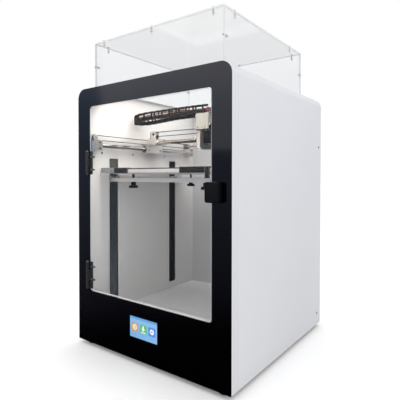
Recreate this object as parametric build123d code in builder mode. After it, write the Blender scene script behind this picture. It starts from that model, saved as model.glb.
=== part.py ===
from build123d import *
import math
import os

os.makedirs("parts", exist_ok=True)

# ---------------------------------------------------------------------------
# Enclosed desktop 3-D printer with a moving gantry and a lifting bed.
# All sizes are millimetres. Sub-parts are laid out in panel coordinates:
# x from the machine's centre, y back from the front panel's face and z up from
# the underside of the cabinet. YF and ZB carry them into the row frame, whose
# origin is under the middle of the bounding box, on the standing surface.
# ---------------------------------------------------------------------------
W, D, H = 520.0, 545.0, 720.0            # cabinet
R_TOP = 27.0                             # rounded top edges of the cabinet
FOOT_H = 12.0
HANDLE_OUT, INLET_OUT = 18.0, 4.6        # what stands out in front and behind
YF = -(D + INLET_OUT - HANDLE_OUT) / 2   # row-frame y of the front panel's face
ZB = FOOT_H

T_PANEL, T_SHEET = 3.0, 2.0
WIN_X, WIN_Z0, WIN_Z1, WIN_R = 210.0, 147.0, 668.0, 10.0   # door opening
INNER_X, INNER_Y, FLOOR_Z = 213.0, 483.0, 73.0             # print chamber
DECK_X, DECK_Y0, DECK_Y1 = 205.0, 45.0, 457.0              # top opening

POST_X, POST_YA, POST_YB = 129.0, 91.5, 362.5   # bed screws; Z columns share the y
SLOT_HALF, STRIP_HALF = 17.25, 13.0
SLOT_Z0, SLOT_Z1 = 96.0, 525.0
BED_X, BED_Y0, BED_Y1, BED_Z = 205.0, 40.0, 409.0, 482.0
SCREW_X, SCREW_Y, SCREW_R = 236.7, 398.5, 5.0

ROD_X, ROD_Z, ROD_R = 196.0, 559.0, 6.0         # Y rods
XROD_Z, XROD_R, XROD_YA, XROD_YB = 581.0, 5.0, 232.0, 262.0
P_IN, P_OUT = 6.1, 7.5                          # belt loop radii at a pulley
YBELT_X, YBELT_Z, YB_FRONT, YB_REAR = 202.0, 581.5, 12.0, 438.0
XBELT_Y, XBELT_Z, XPUL_X = 227.0, 606.3, 170.0
NOZ_X, NOZ_Y, NOZ_Z = 44.0, 247.0, 544.4

HOOD_X, HOOD_Y0, HOOD_Y1, HOOD_Z, T_HOOD = 222.0, 30.0, 471.0, 856.0, 4.0
HINGE_X, HINGE_Y = -212.5, -6.5


def box(x0, x1, y0, y1, z0, z1, mode=Mode.ADD):
    """A block between two corners, in panel coordinates."""
    with Locations(((x0 + x1) / 2, YF + (y0 + y1) / 2, ZB + (z0 + z1) / 2)):
        Box(abs(x1 - x0), abs(y1 - y0), abs(z1 - z0), mode=mode)


def cyl(x, y, z, r, length, axis="Z", mode=Mode.ADD):
    """A cylinder centred on a point, in panel coordinates."""
    turn = {"Z": (0, 0, 0), "X": (0, 90, 0), "Y": (90, 0, 0)}[axis]
    with Locations((x, YF + y, ZB + z)):
        Cylinder(r, length, rotation=turn, mode=mode)


def front(y):
    """Plane facing forwards; its local x is +X and its local y is +Z."""
    return Plane(origin=(0, YF + y, ZB), x_dir=(1, 0, 0), z_dir=(0, -1, 0))


def side(x):
    """Plane facing +X; its local x is +Y and its local y is +Z."""
    return Plane(origin=(x, YF, ZB), x_dir=(0, 1, 0), z_dir=(1, 0, 0))


def level(z):
    """Plane facing up; its local x is +X and its local y is +Y."""
    return Plane(origin=(0, YF, ZB + z), x_dir=(1, 0, 0), z_dir=(0, 0, 1))


# ============================== cabinet ====================================
# The white sheet wraps over both sides and the top; two collar rings in front
# of it leave fine seams.
with BuildPart() as outer_shell:
    for y0, y1 in ((3.2, 15.3), (15.7, 27.8), (28.2, D - T_PANEL - 0.2)):
        with BuildSketch(front(y0)) as s:
            with Locations((0, H / 2)):
                Rectangle(W, H)
            fillet(s.vertices().sort_by(Axis.Y)[-2:], R_TOP)
            with BuildSketch(mode=Mode.SUBTRACT) as inner:
                with Locations((0, (H - T_SHEET) / 2)):
                    Rectangle(W - 2 * T_SHEET, H - T_SHEET)
                fillet(inner.vertices().sort_by(Axis.Y)[-2:], R_TOP - T_SHEET)
        extrude(amount=-(y1 - y0))
    box(-DECK_X, DECK_X, DECK_Y0, DECK_Y1, H - 10, H + 5, Mode.SUBTRACT)
outer_shell.part.label = "outer_shell"
export_step(outer_shell.part, "parts/outer_shell.step")

with BuildPart() as front_panel:
    with BuildSketch(front(0)) as s:
        with Locations((0, H / 2)):
            Rectangle(W, H)
        fillet(s.vertices().sort_by(Axis.Y)[-2:], R_TOP)
        with Locations((0, (WIN_Z0 + WIN_Z1) / 2)):
            RectangleRounded(2 * WIN_X, WIN_Z1 - WIN_Z0, WIN_R, mode=Mode.SUBTRACT)
        with Locations((-1, 84)):
            RectangleRounded(102, 57, 2, mode=Mode.SUBTRACT)
    extrude(amount=-T_PANEL)
front_panel.part.label = "front_panel"
export_step(front_panel.part, "parts/front_panel.step")

INLET_X, INLET_Z = 190.0, 62.0
with BuildPart() as rear_panel:
    with BuildSketch(front(D - T_PANEL)) as s:
        with Locations((0, H / 2)):
            Rectangle(W, H)
        fillet(s.vertices().sort_by(Axis.Y)[-2:], R_TOP)
        with Locations((INLET_X, INLET_Z)):
            Rectangle(44, 66, mode=Mode.SUBTRACT)
        with Locations((-40, 45)):
            with GridLocations(14, 0, 16, 1):
                SlotOverall(44, 5, rotation=90, mode=Mode.SUBTRACT)
        with Locations((-150, 600)):
            Circle(5.2, mode=Mode.SUBTRACT)
        with Locations((0, 640)):
            with GridLocations(26, 11, 12, 5):
                SlotOverall(18, 4.5, mode=Mode.SUBTRACT)
    extrude(amount=-T_PANEL)
rear_panel.part.label = "rear_panel"
export_step(rear_panel.part, "parts/rear_panel.step")

with BuildPart() as base_plate:
    box(-257.8, 257.8, 3.4, 541.6, 0, T_SHEET)
    with BuildSketch(level(0)) as s:
        with Locations((-100, 440), (120, 265)):
            with GridLocations(13, 0, 10, 1):
                SlotOverall(70, 5, rotation=90)
    extrude(amount=T_SHEET, mode=Mode.SUBTRACT)
base_plate.part.label = "base_plate"
export_step(base_plate.part, "parts/base_plate.step")

FOOT_AT = [(-228, 26), (228, 26), (-228, 515), (228, 515)]
with BuildPart() as feet:
    with BuildSketch(level(-FOOT_H)) as s:
        with Locations(*FOOT_AT):
            Circle(12.5)
    extrude(amount=FOOT_H, taper=-6)
    for fx, fy in FOOT_AT:
        cyl(fx, fy, -FOOT_H + 1.5, 3.5, 3.0, mode=Mode.SUBTRACT)
feet.part.label = "feet"
export_step(feet.part, "parts/feet.step")

# ------------------------------ chamber ------------------------------------
# The floor sheet turns up behind the touch screen and forward again to the
# lower edge of the door opening.
with BuildPart() as chamber_floor:
    box(-INNER_X - T_SHEET, INNER_X + T_SHEET, 15.4, INNER_Y + T_SHEET, FLOOR_Z - T_SHEET, FLOOR_Z)
    box(-INNER_X + 0.1, INNER_X - 0.1, 15.4, 17.4, FLOOR_Z - T_SHEET, WIN_Z0 - 2)
    box(-INNER_X + 0.1, INNER_X - 0.1, 3.4, 17.4, WIN_Z0 - 4, WIN_Z0 - 2)
chamber_floor.part.label = "chamber_floor"
export_step(chamber_floor.part, "parts/chamber_floor.step")


# The side walls carry two upright slots each, for the bed's arms.
with BuildPart() as left_wall:
    with BuildSketch(side(-INNER_X - T_SHEET)) as s:
        with Locations(((3.4 + INNER_Y + T_SHEET) / 2, (FLOOR_Z + H - T_SHEET) / 2)):
            Rectangle(INNER_Y + T_SHEET - 3.4, H - T_SHEET - FLOOR_Z)
        with Locations((POST_YA, (SLOT_Z0 + SLOT_Z1) / 2), (POST_YB, (SLOT_Z0 + SLOT_Z1) / 2)):
            RectangleRounded(2 * SLOT_HALF, SLOT_Z1 - SLOT_Z0, 4, mode=Mode.SUBTRACT)
    extrude(amount=T_SHEET)
left_wall.part.label = "left_wall"
export_step(left_wall.part, "parts/left_wall.step")

with BuildPart() as right_wall:
    with BuildSketch(side(INNER_X)) as s:
        with Locations(((3.4 + INNER_Y + T_SHEET) / 2, (FLOOR_Z + H - T_SHEET) / 2)):
            Rectangle(INNER_Y + T_SHEET - 3.4, H - T_SHEET - FLOOR_Z)
        with Locations((POST_YA, (SLOT_Z0 + SLOT_Z1) / 2), (POST_YB, (SLOT_Z0 + SLOT_Z1) / 2)):
            RectangleRounded(2 * SLOT_HALF, SLOT_Z1 - SLOT_Z0, 4, mode=Mode.SUBTRACT)
        with Locations((YB_REAR, YBELT_Z)):
            Circle(8, mode=Mode.SUBTRACT)
    extrude(amount=T_SHEET)
right_wall.part.label = "right_wall"
export_step(right_wall.part, "parts/right_wall.step")

with BuildPart() as back_wall:
    box(-INNER_X, INNER_X, INNER_Y, INNER_Y + T_SHEET, FLOOR_Z, H - T_SHEET)
back_wall.part.label = "back_wall"
export_step(back_wall.part, "parts/back_wall.step")

# ------------------------------ Z axis -------------------------------------
# Behind each slot stands a column with a profile rail; the rear pair has a
# lead screw beside it, driven by a motor on the base.
with BuildPart() as z_guides:
    for sx in (-1, 1):
        for py in (POST_YA, POST_YB):
            box(sx * 252, sx * 249, py - 14, py + 14, 2, 560)
            box(sx * 249, sx * 241, py - 6, py + 6, 78, 556)
        # top bearing of the lead screw, carried by the rear column
        box(sx * 252, sx * 249, POST_YB + 14, SCREW_Y + 14, 540, 552)
        box(sx * 249, sx * 222, SCREW_Y - 14, SCREW_Y + 14, 540, 552)
        cyl(sx * SCREW_X, SCREW_Y, 546, SCREW_R + 0.06, 14, mode=Mode.SUBTRACT)
z_guides.part.label = "z_guides"
export_step(z_guides.part, "parts/z_guides.step")

with BuildPart() as z_cover_strips:
    for sx in (-1, 1):
        for py in (POST_YA, POST_YB):
            box(sx * 216.4, sx * 215.1, py - STRIP_HALF, py + STRIP_HALF, 84, 537)
z_cover_strips.part.label = "z_cover_strips"
export_step(z_cover_strips.part, "parts/z_cover_strips.step")

# Two lead-screw motors on the base and the gantry's drive motor behind the
# right wall: the same square stepper each time.
with BuildPart() as frame_motors:
    for sx in (-1, 1):
        box(sx * (SCREW_X - 21), sx * (SCREW_X + 21), SCREW_Y - 21, SCREW_Y + 21, 2.2, 43)
    box(216.2, 256, YB_REAR - 21, YB_REAR + 21, YBELT_Z - 21, YBELT_Z + 21)
    motor_edges = frame_motors.edges().filter_by(Axis.Z).filter_by(lambda e: e.length > 40.2 and e.length < 41)
    chamfer(motor_edges, 4)
    for sx in (-1, 1):
        cyl(sx * SCREW_X, SCREW_Y, 44, 11, 2)
        cyl(sx * SCREW_X, SCREW_Y, 52, 2.4, 14)
frame_motors.part.label = "frame_motors"
export_step(frame_motors.part, "parts/frame_motors.step")

for sx, label in ((-1, "lead_screw_left"), (1, "lead_screw_right")):
    with BuildPart() as lead_screw:
        cyl(sx * SCREW_X, SCREW_Y, (62 + 554) / 2, SCREW_R, 554 - 62)
        cyl(sx * SCREW_X, SCREW_Y, 61.5, 10, 25)
        cyl(sx * SCREW_X, SCREW_Y, 54.5, 2.45, 11.2, mode=Mode.SUBTRACT)
    lead_screw.part.label = label
    export_step(lead_screw.part, f"parts/{label}.step")

# ------------------------------ Y axis -------------------------------------
with BuildPart() as y_rods:
    for sx in (-1, 1):
        cyl(sx * ROD_X, (8 + 446) / 2, ROD_Z, ROD_R, 446 - 8, "Y")
y_rods.part.label = "y_rods"
export_step(y_rods.part, "parts/y_rods.step")

with BuildPart() as y_rod_blocks:
    for sx in (-1, 1):
        box(sx * 213, sx * 184, 5, 26, 545, 573)
        box(sx * 213, sx * 184, 426, 450, 545, 573)
        box(sx * 213, sx * 209.5, 5, 22, 573, 592)
        box(sx * 213, sx * 209.5, 426, 450, 573, 592)
        cyl(sx * ROD_X, 227, ROD_Z, ROD_R, 438, "Y", Mode.SUBTRACT)
        cyl(sx * 203.5, YB_FRONT, YBELT_Z, 2.5, 13, "X")
        cyl(sx * 211, YB_REAR, YBELT_Z, 3.06, 8, "X", Mode.SUBTRACT)
y_rod_blocks.part.label = "y_rod_blocks"
export_step(y_rod_blocks.part, "parts/y_rod_blocks.step")

with BuildPart() as y_front_pulleys:
    for sx in (-1, 1):
        cyl(sx * YBELT_X, YB_FRONT, YBELT_Z, P_IN - 0.05, 9, "X")
        cyl(sx * (YBELT_X - 4), YB_FRONT, YBELT_Z, 8, 1, "X")
        cyl(sx * (YBELT_X + 4), YB_FRONT, YBELT_Z, 8, 1, "X")
        cyl(sx * YBELT_X, YB_FRONT, YBELT_Z, 2.56, 12, "X", Mode.SUBTRACT)
y_front_pulleys.part.label = "y_front_pulleys"
export_step(y_front_pulleys.part, "parts/y_front_pulleys.step")

with BuildPart() as y_drive_shaft:
    cyl(1.9, YB_REAR, YBELT_Z, 3, 427.8, "X")
    for sx in (-1, 1):
        cyl(sx * YBELT_X, YB_REAR, YBELT_Z, P_IN - 0.05, 9, "X")
        cyl(sx * (YBELT_X - 4), YB_REAR, YBELT_Z, 8, 1, "X")
        cyl(sx * (YBELT_X + 4), YB_REAR, YBELT_Z, 8, 1, "X")
y_drive_shaft.part.label = "y_drive_shaft"
export_step(y_drive_shaft.part, "parts/y_drive_shaft.step")

with BuildPart() as y_belts:
    for sx in (-1, 1):
        with BuildSketch(side(sx * YBELT_X)) as s:
            with Locations(((YB_FRONT + YB_REAR) / 2, YBELT_Z)):
                SlotCenterToCenter(YB_REAR - YB_FRONT, 2 * P_OUT)
                SlotCenterToCenter(YB_REAR - YB_FRONT, 2 * P_IN, mode=Mode.SUBTRACT)
        extrude(amount=3, both=True)
y_belts.part.label = "y_belts"
export_step(y_belts.part, "parts/y_belts.step")

# ============================== electronics ================================
with BuildPart() as screen_module:
    box(-58, 56, 3.2, 13, 49, 119)
    box(-52, 50, 3.2, 4.6, 55.5, 112.5, Mode.SUBTRACT)
    box(-40, 38, 13, 15, 56, 112)
screen_module.part.label = "screen_module"
export_step(screen_module.part, "parts/screen_module.step")

with BuildPart() as screen_glass:
    with BuildSketch(front(0.8)) as s:
        with Locations((-1, 84)):
            RectangleRounded(101.4, 56.4, 1.7)
    extrude(amount=-3.6)
screen_glass.part.label = "screen_glass"
export_step(screen_glass.part, "parts/screen_glass.step")

with BuildPart() as power_supply:
    box(-200, 15, 385, 500, 2, 50)
    chamfer(power_supply.edges().filter_by(Axis.X).group_by(Axis.Z)[-1], 2)
power_supply.part.label = "power_supply"
export_step(power_supply.part, "parts/power_supply.step")

with BuildPart() as control_board:
    box(40, 200, 200, 330, 10, 11.6)
    for bx in (46, 194):
        for by in (206, 324):
            cyl(bx, by, 6, 3, 8)
    for i in range(5):
        box(56 + 28 * i, 70 + 28 * i, 292, 306, 11.6, 23)
    box(60, 90, 230, 260, 11.6, 14)
    box(120, 180, 212, 222, 11.6, 25)
    for i in range(3):
        cyl(110 + 14 * i, 245, 17, 5, 11)
control_board.part.label = "control_board"
export_step(control_board.part, "parts/control_board.step")

# Power entry: a flanged module with an inlet well, three blades and the well
# that carries the rocker.
with BuildPart() as power_entry:
    box(INLET_X - 21.8, INLET_X + 21.8, 515, D, INLET_Z - 32.8, INLET_Z + 32.8)
    box(INLET_X - 26, INLET_X + 26, D, D + 2.6, INLET_Z - 37, INLET_Z + 37)
    with BuildSketch(front(D + 2.6)) as s:
        with Locations((INLET_X, INLET_Z - 12)):
            Rectangle(25, 18)
            chamfer(s.vertices().sort_by(Axis.Y)[-2:], 5)
    extrude(amount=18, mode=Mode.SUBTRACT)
    for bx, bz in ((-7, -15), (7, -15), (0, -9)):
        box(INLET_X + bx - 1, INLET_X + bx + 1, D - 16, D - 3, INLET_Z + bz - 2, INLET_Z + bz + 2)
    box(INLET_X - 13.6, INLET_X + 13.6, D - 9, D + 2.6, INLET_Z + 11, INLET_Z + 29, Mode.SUBTRACT)
    cyl(INLET_X, D - 0.5, INLET_Z + 20, 1.56, 28.8, "X", Mode.SUBTRACT)
power_entry.part.label = "power_entry"
export_step(power_entry.part, "parts/power_entry.step")

# The rocker tips about an axis along x at the well's mouth.
ROCK_Y, ROCK_Z = D - 0.5, INLET_Z + 20
with BuildPart() as rocker:
    with BuildSketch(side(INLET_X)) as s:
        with BuildLine() as bl:
            Polyline(
                (ROCK_Y - 4.5, ROCK_Z - 7.2), (ROCK_Y + 1.0, ROCK_Z - 7.6), (ROCK_Y + 2.4, ROCK_Z),
                (ROCK_Y + 5.1, ROCK_Z + 7.0), (ROCK_Y - 3.6, ROCK_Z + 7.6), (ROCK_Y - 6.0, ROCK_Z), close=True)
        make_face()
    extrude(amount=12.6, both=True)
    cyl(INLET_X, ROCK_Y, ROCK_Z, 1.5, 28.4, "X")
rocker.part.label = "rocker"
export_step(rocker.part, "parts/rocker.step")

with BuildPart() as led_bar:
    box(-170, 170, 4, 15, 700, 703)
    box(-168, 168, 6, 13, 697, 700)
led_bar.part.label = "led_bar"
export_step(led_bar.part, "parts/led_bar.step")

SCREW_SPOTS_Y = (46.0, 170.0, 320.0)
with BuildPart() as panel_screws:
    for sx in (-1, 1):
        for py in SCREW_SPOTS_Y:
            cyl(sx * (INNER_X - 0.7), py, 540, 3, 1.4, "X")
        for py, pz in ((525, 564), (516, 36)):
            cyl(sx * (W / 2 + 0.5), py, pz, 3.2, 1.0, "X")
panel_screws.part.label = "panel_screws"
export_step(panel_screws.part, "parts/panel_screws.step")

# ============================== door =======================================
with BuildPart() as door_pane:
    with BuildSketch(front(0)) as s:
        with Locations((0, (WIN_Z0 + WIN_Z1) / 2)):
            RectangleRounded(2 * WIN_X - 4.4, WIN_Z1 - WIN_Z0 - 4.4, WIN_R - 2)
    extrude(amount=-4)
door_pane.part.label = "door_pane"
export_step(door_pane.part, "parts/door_pane.step")

HINGES = [(477.0, 542.0), (155.0, 231.0)]
with BuildPart() as hinge_leaves_frame:
    for z0, z1 in HINGES:
        third = (z1 - z0) / 3
        box(-223, HINGE_X - 0.5, -2, 0, z0, z1)
        for k in (0, 2):
            za, zb = z0 + k * third + 0.1, z0 + (k + 1) * third - 0.1
            cyl(HINGE_X, HINGE_Y, (za + zb) / 2, 4.5, zb - za)
            box(HINGE_X - 4.5, HINGE_X - 0.6, HINGE_Y, -1.5, za, zb)
        cyl(HINGE_X, HINGE_Y, (z0 + z1) / 2, 1.6, z1 - z0)
hinge_leaves_frame.part.label = "hinge_leaves_frame"
export_step(hinge_leaves_frame.part, "parts/hinge_leaves_frame.step")

DOOR_SCREWS = [(-190, 526), (-190, 490), (-190, 217), (-190, 181)]
with BuildPart() as hinge_leaves_door:
    for z0, z1 in HINGES:
        third = (z1 - z0) / 3
        box(-207.4, -196, -2.2, 0, z0, z1)
        za, zb = z0 + third + 0.1, z0 + 2 * third - 0.1
        cyl(HINGE_X, HINGE_Y, (za + zb) / 2, 4.5, zb - za)
        box(HINGE_X, -207.0, HINGE_Y, -2.2, za, zb)
        box(-207.4, -204, HINGE_Y + 2, -1, za, zb)
        cyl(HINGE_X, HINGE_Y, (z0 + z1) / 2, 1.66, z1 - z0, mode=Mode.SUBTRACT)
    for sx, sz in DOOR_SCREWS:
        cyl(sx, -1.0, sz, 2.6, 2.0, "Y")
hinge_leaves_door.part.label = "hinge_leaves_door"
export_step(hinge_leaves_door.part, "parts/hinge_leaves_door.step")

with BuildPart() as door_handle:
    with BuildSketch(front(-HANDLE_OUT)) as s:
        with Locations((220, 437)):
            RectangleRounded(36, 46, 6)
    extrude(amount=-(HANDLE_OUT - 2.2))
    fillet(door_handle.faces().sort_by(Axis.Y)[0].edges(), 2.5)
    box(193, 207, -3.4, 0, 418, 456)
door_handle.part.label = "door_handle"
export_step(door_handle.part, "parts/door_handle.step")

with BuildPart() as door_catch:
    box(203, 213, 4.3, 14, 424, 450)
    chamfer(door_catch.edges().filter_by(Axis.Z), 1)
door_catch.part.label = "door_catch"
export_step(door_catch.part, "parts/door_catch.step")

# ============================== hood =======================================
# Five clear panels held by screws in T-shaped slots.
TOP_SCREWS_X = (-184.0, 0.0, 192.0)
TOP_SCREWS_Y = (78.0, 388.0)
MID_Z = 788.0
with BuildPart() as hood_top:
    box(-HOOD_X, HOOD_X, HOOD_Y0, HOOD_Y1, HOOD_Z - T_HOOD, HOOD_Z)
    for px in TOP_SCREWS_X:
        for py in (HOOD_Y0 + 2, HOOD_Y1 - 2):
            cyl(px, py, HOOD_Z - 2, 1.6, 6, mode=Mode.SUBTRACT)
    for sx in (-1, 1):
        for py in TOP_SCREWS_Y:
            cyl(sx * (HOOD_X - 2), py, HOOD_Z - 2, 1.6, 6, mode=Mode.SUBTRACT)
hood_top.part.label = "hood_top"
export_step(hood_top.part, "parts/hood_top.step")

with BuildPart() as hood_walls:
    for y0 in (HOOD_Y0, HOOD_Y1 - T_HOOD):
        box(-HOOD_X, HOOD_X, y0, y0 + T_HOOD, H, HOOD_Z - T_HOOD)
        for px in TOP_SCREWS_X:
            box(px - 1.7, px + 1.7, y0, y0 + T_HOOD, HOOD_Z - T_HOOD - 14, HOOD_Z - T_HOOD, Mode.SUBTRACT)
            box(px - 3.1, px + 3.1, y0, y0 + T_HOOD, HOOD_Z - T_HOOD - 10, HOOD_Z - T_HOOD - 7, Mode.SUBTRACT)
        for sx in (-1, 1):
            cyl(sx * (HOOD_X - 2), y0 + 2, MID_Z, 1.6, 5, "Y", Mode.SUBTRACT)
    for sx in (-1, 1):
        x0, x1 = sx * HOOD_X, sx * (HOOD_X - T_HOOD)
        box(x0, x1, HOOD_Y0 + T_HOOD + 0.02, HOOD_Y1 - T_HOOD - 0.02, H, HOOD_Z - T_HOOD)
        for py in TOP_SCREWS_Y:
            box(x0, x1, py - 1.7, py + 1.7, HOOD_Z - T_HOOD - 14, HOOD_Z - T_HOOD, Mode.SUBTRACT)
            box(x0, x1, py - 3.1, py + 3.1, HOOD_Z - T_HOOD - 10, HOOD_Z - T_HOOD - 7, Mode.SUBTRACT)
        for ya, yb, yc, yd in (
            (HOOD_Y0 + T_HOOD, HOOD_Y0 + T_HOOD + 14, HOOD_Y0 + T_HOOD + 7, HOOD_Y0 + T_HOOD + 10),
            (HOOD_Y1 - T_HOOD - 14, HOOD_Y1 - T_HOOD, HOOD_Y1 - T_HOOD - 10, HOOD_Y1 - T_HOOD - 7),
        ):
            box(x0, x1, ya, yb, MID_Z - 1.7, MID_Z + 1.7, Mode.SUBTRACT)
            box(x0, x1, yc, yd, MID_Z - 3.1, MID_Z + 3.1, Mode.SUBTRACT)
hood_walls.part.label = "hood_walls"
export_step(hood_walls.part, "parts/hood_walls.step")

with BuildPart() as hood_screws:
    for px in TOP_SCREWS_X:
        for py in (HOOD_Y0 + 2, HOOD_Y1 - 2):
            cyl(px, py, HOOD_Z - 7, 1.4, 14)
            cyl(px, py, HOOD_Z + 0.9, 2.8, 1.8)
            box(px - 2.7, px + 2.7, py - 1.9, py + 1.9, HOOD_Z - T_HOOD - 9.8, HOOD_Z - T_HOOD - 7.3)
    for sx in (-1, 1):
        for py in TOP_SCREWS_Y:
            px = sx * (HOOD_X - 2)
            cyl(px, py, HOOD_Z - 7, 1.4, 14)
            cyl(px, py, HOOD_Z + 0.9, 2.8, 1.8)
            box(px - 1.9, px + 1.9, py - 2.7, py + 2.7, HOOD_Z - T_HOOD - 9.8, HOOD_Z - T_HOOD - 7.3)
        for y_out, inward in ((HOOD_Y0, 1), (HOOD_Y1, -1)):
            px = sx * (HOOD_X - 2)
            cyl(px, y_out + inward * 7, MID_Z, 1.4, 14, "Y")
            cyl(px, y_out - inward * 0.9, MID_Z, 2.8, 1.8, "Y")
            ya, yb = sorted((y_out + inward * 11.3, y_out + inward * 13.8))
            box(px - 1.9, px + 1.9, ya, yb, MID_Z - 2.7, MID_Z + 2.7)
hood_screws.part.label = "hood_screws"
export_step(hood_screws.part, "parts/hood_screws.step")

# ============================== bed ========================================
BEAM_Z0, BEAM_Z1 = 456.0, 467.0
with BuildPart() as bed_frame:
    for py in (POST_YA, POST_YB):
        box(-208, 208, py - 13, py + 13, BEAM_Z0, BEAM_Z1)
    for sx in (-1, 1):
        box(sx * (POST_X - 13), sx * (POST_X + 13), POST_YA + 13.02, POST_YB - 13.02, BEAM_Z0, BEAM_Z1)
        for py in (POST_YA, POST_YB):
            cyl(sx * POST_X, py, 461, 2.2, 14, mode=Mode.SUBTRACT)
bed_frame.part.label = "bed_frame"
export_step(bed_frame.part, "parts/bed_frame.step")

# Each arm bracket has two thin legs that straddle the cover strip and reach
# the rail carriage behind the wall.
with BuildPart() as bed_brackets:
    for sx in (-1, 1):
        for py in (POST_YA, POST_YB):
            box(sx * 212.4, sx * 208.02, py - 16.4, py + 16.4, 455, 473)
            for k in (-1, 1):
                box(sx * 236, sx * 212.4, py + k * 14.2, py + k * 16.4, 455, 473)
            box(sx * 235.9, sx * 232, py - 16.4, py + 16.4, 455, 473)
            box(sx * 246, sx * 235.92, py - 13.5, py + 13.5, 440, 484)
            box(sx * 246.1, sx * 240.9, py - 6.1, py + 6.1, 439, 485, Mode.SUBTRACT)
        box(sx * 236, sx * 232, POST_YB + 14.2, POST_YB + 26, 458, 470)
        box(sx * 248, sx * 225, POST_YB + 22, POST_YB + 50, 458, 470)
        cyl(sx * SCREW_X, SCREW_Y, 464, SCREW_R + 0.06, 14, mode=Mode.SUBTRACT)
bed_brackets.part.label = "bed_brackets"
export_step(bed_brackets.part, "parts/bed_brackets.step")

with BuildPart() as heated_plate:
    box(-BED_X, BED_X, BED_Y0, BED_Y1, BED_Z, 491)
    chamfer(heated_plate.edges().filter_by(Axis.Z), 3)
heated_plate.part.label = "heated_plate"
export_step(heated_plate.part, "parts/heated_plate.step")

with BuildPart() as print_surface:
    box(-BED_X + 2, BED_X - 2, BED_Y0 + 1, BED_Y1 - 2, 491, 494)
    chamfer(print_surface.edges().filter_by(Axis.Z), 3)
print_surface.part.label = "print_surface"
export_step(print_surface.part, "parts/print_surface.step")

# Edge clamps: a bar in front of the plate with a lip over the surface.
with BuildPart() as bed_clips:
    for xa, xb in ((-206.0, -150.4), (-150.0, -97.0), (87.0, 164.6)):
        box(xa, xb, 36.5, 39.9, 480, 495.6)
        box(xa, xb, 36.5, 52, 494.05, 495.6)
    box(165.0, 177.0, 36.5, 39.9, 467.5, 495.6)
    box(165.0, 177.0, 36.5, 52, 494.05, 495.6)
    for xa, xb in ((-180.0, -110.0), (110.0, 180.0)):
        box(xa, xb, BED_Y1 + 0.1, BED_Y1 + 3.5, 481, 495.6)
        box(xa, xb, BED_Y1 - 12, BED_Y1 + 3.5, 494.05, 495.6)
bed_clips.part.label = "bed_clips"
export_step(bed_clips.part, "parts/bed_clips.step")

BED_POSTS = [(-POST_X, POST_YA), (POST_X, POST_YA), (-POST_X, POST_YB), (POST_X, POST_YB)]
with BuildPart() as bed_posts:
    for px, py in BED_POSTS:
        cyl(px, py, (467.02 + 481.98) / 2, 4.4, 14.96)
        cyl(px, py, (467.02 + 481.98) / 2, 2.2, 16, mode=Mode.SUBTRACT)
        cyl(px, py, (442 + 481.9) / 2, 2.0, 39.9)
bed_posts.part.label = "bed_posts"
export_step(bed_posts.part, "parts/bed_posts.step")

for (px, py), label in zip(BED_POSTS, ("knob_front_left", "knob_front_right", "knob_rear_left", "knob_rear_right")):
    with BuildPart() as knob:
        with BuildSketch(level(438)) as s:
            with Locations((px, py)):
                Circle(13.0)
                with PolarLocations(13.2, 12):
                    Circle(1.2, mode=Mode.SUBTRACT)
        extrude(amount=7.6)
        chamfer(knob.edges().group_by(Axis.Z)[0], 0.6)
        cyl(px, py, 450.7, 7.2, 10.2)
        cyl(px, py, 450, 2.06, 30, mode=Mode.SUBTRACT)
    knob.part.label = label
    export_step(knob.part, f"parts/{label}.step")

# ============================== gantry =====================================
with BuildPart() as y_carriages:
    for sx in (-1, 1):
        box(sx * 208, sx * 184, 205, 277, 546, 573.5)
        box(sx * 197.5, sx * 160, 217, 270, 573.5, 592)
        # belt clamp jaws round the upper run
        box(sx * 206, sx * 197.5, 234, 262, 580.5, 587.2)
        box(sx * 206, sx * 197.5, 234, 262, 589.4, 594)
        box(sx * 197.6, sx * 192, 234, 262, 589.4, 594)
        cyl(sx * ROD_X, 241, ROD_Z, ROD_R + 0.05, 80, "Y", Mode.SUBTRACT)
        for py in (XROD_YA, XROD_YB):
            cyl(sx * 178, py, XROD_Z, XROD_R, 39, "X", Mode.SUBTRACT)
    # idler clevis on the left carriage
    for y0, y1 in ((219.2, 222), (232, 234.8)):
        box(-182, -160, y0, y1, 592, 616)
    cyl(-XPUL_X, XBELT_Y, XBELT_Z, 2.5, 12, "Y")
    # motor plate on the right carriage
    box(148.8, 191.2, 267, 270, 585.2, 627.4)
    cyl(XPUL_X, 268, XBELT_Z, 11.5, 8, "Y", Mode.SUBTRACT)
    # post for the cable chain's fixed end
    box(178, 192, 250, 264, 592, 650.5)
y_carriages.part.label = "y_carriages"
export_step(y_carriages.part, "parts/y_carriages.step")

with BuildPart() as x_rods:
    for py in (XROD_YA, XROD_YB):
        cyl(0, py, XROD_Z, XROD_R, 390, "X")
x_rods.part.label = "x_rods"
export_step(x_rods.part, "parts/x_rods.step")

with BuildPart() as x_idler:
    cyl(-XPUL_X, XBELT_Y, XBELT_Z, P_IN - 0.05, 9, "Y")
    for k in (-1, 1):
        cyl(-XPUL_X, XBELT_Y + k * 4, XBELT_Z, 8, 1, "Y")
    cyl(-XPUL_X, XBELT_Y, XBELT_Z, 2.56, 14, "Y", Mode.SUBTRACT)
x_idler.part.label = "x_idler"
export_step(x_idler.part, "parts/x_idler.step")

with BuildPart() as x_motor_pulley:
    cyl(XPUL_X, XBELT_Y, XBELT_Z, P_IN - 0.05, 9, "Y")
    for k in (-1, 1):
        cyl(XPUL_X, XBELT_Y + k * 4, XBELT_Z, 8, 1, "Y")
    cyl(XPUL_X, (222.5 + 270.6) / 2, XBELT_Z, 2.5, 270.6 - 222.5, "Y")
x_motor_pulley.part.label = "x_motor_pulley"
export_step(x_motor_pulley.part, "parts/x_motor_pulley.step")

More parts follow.
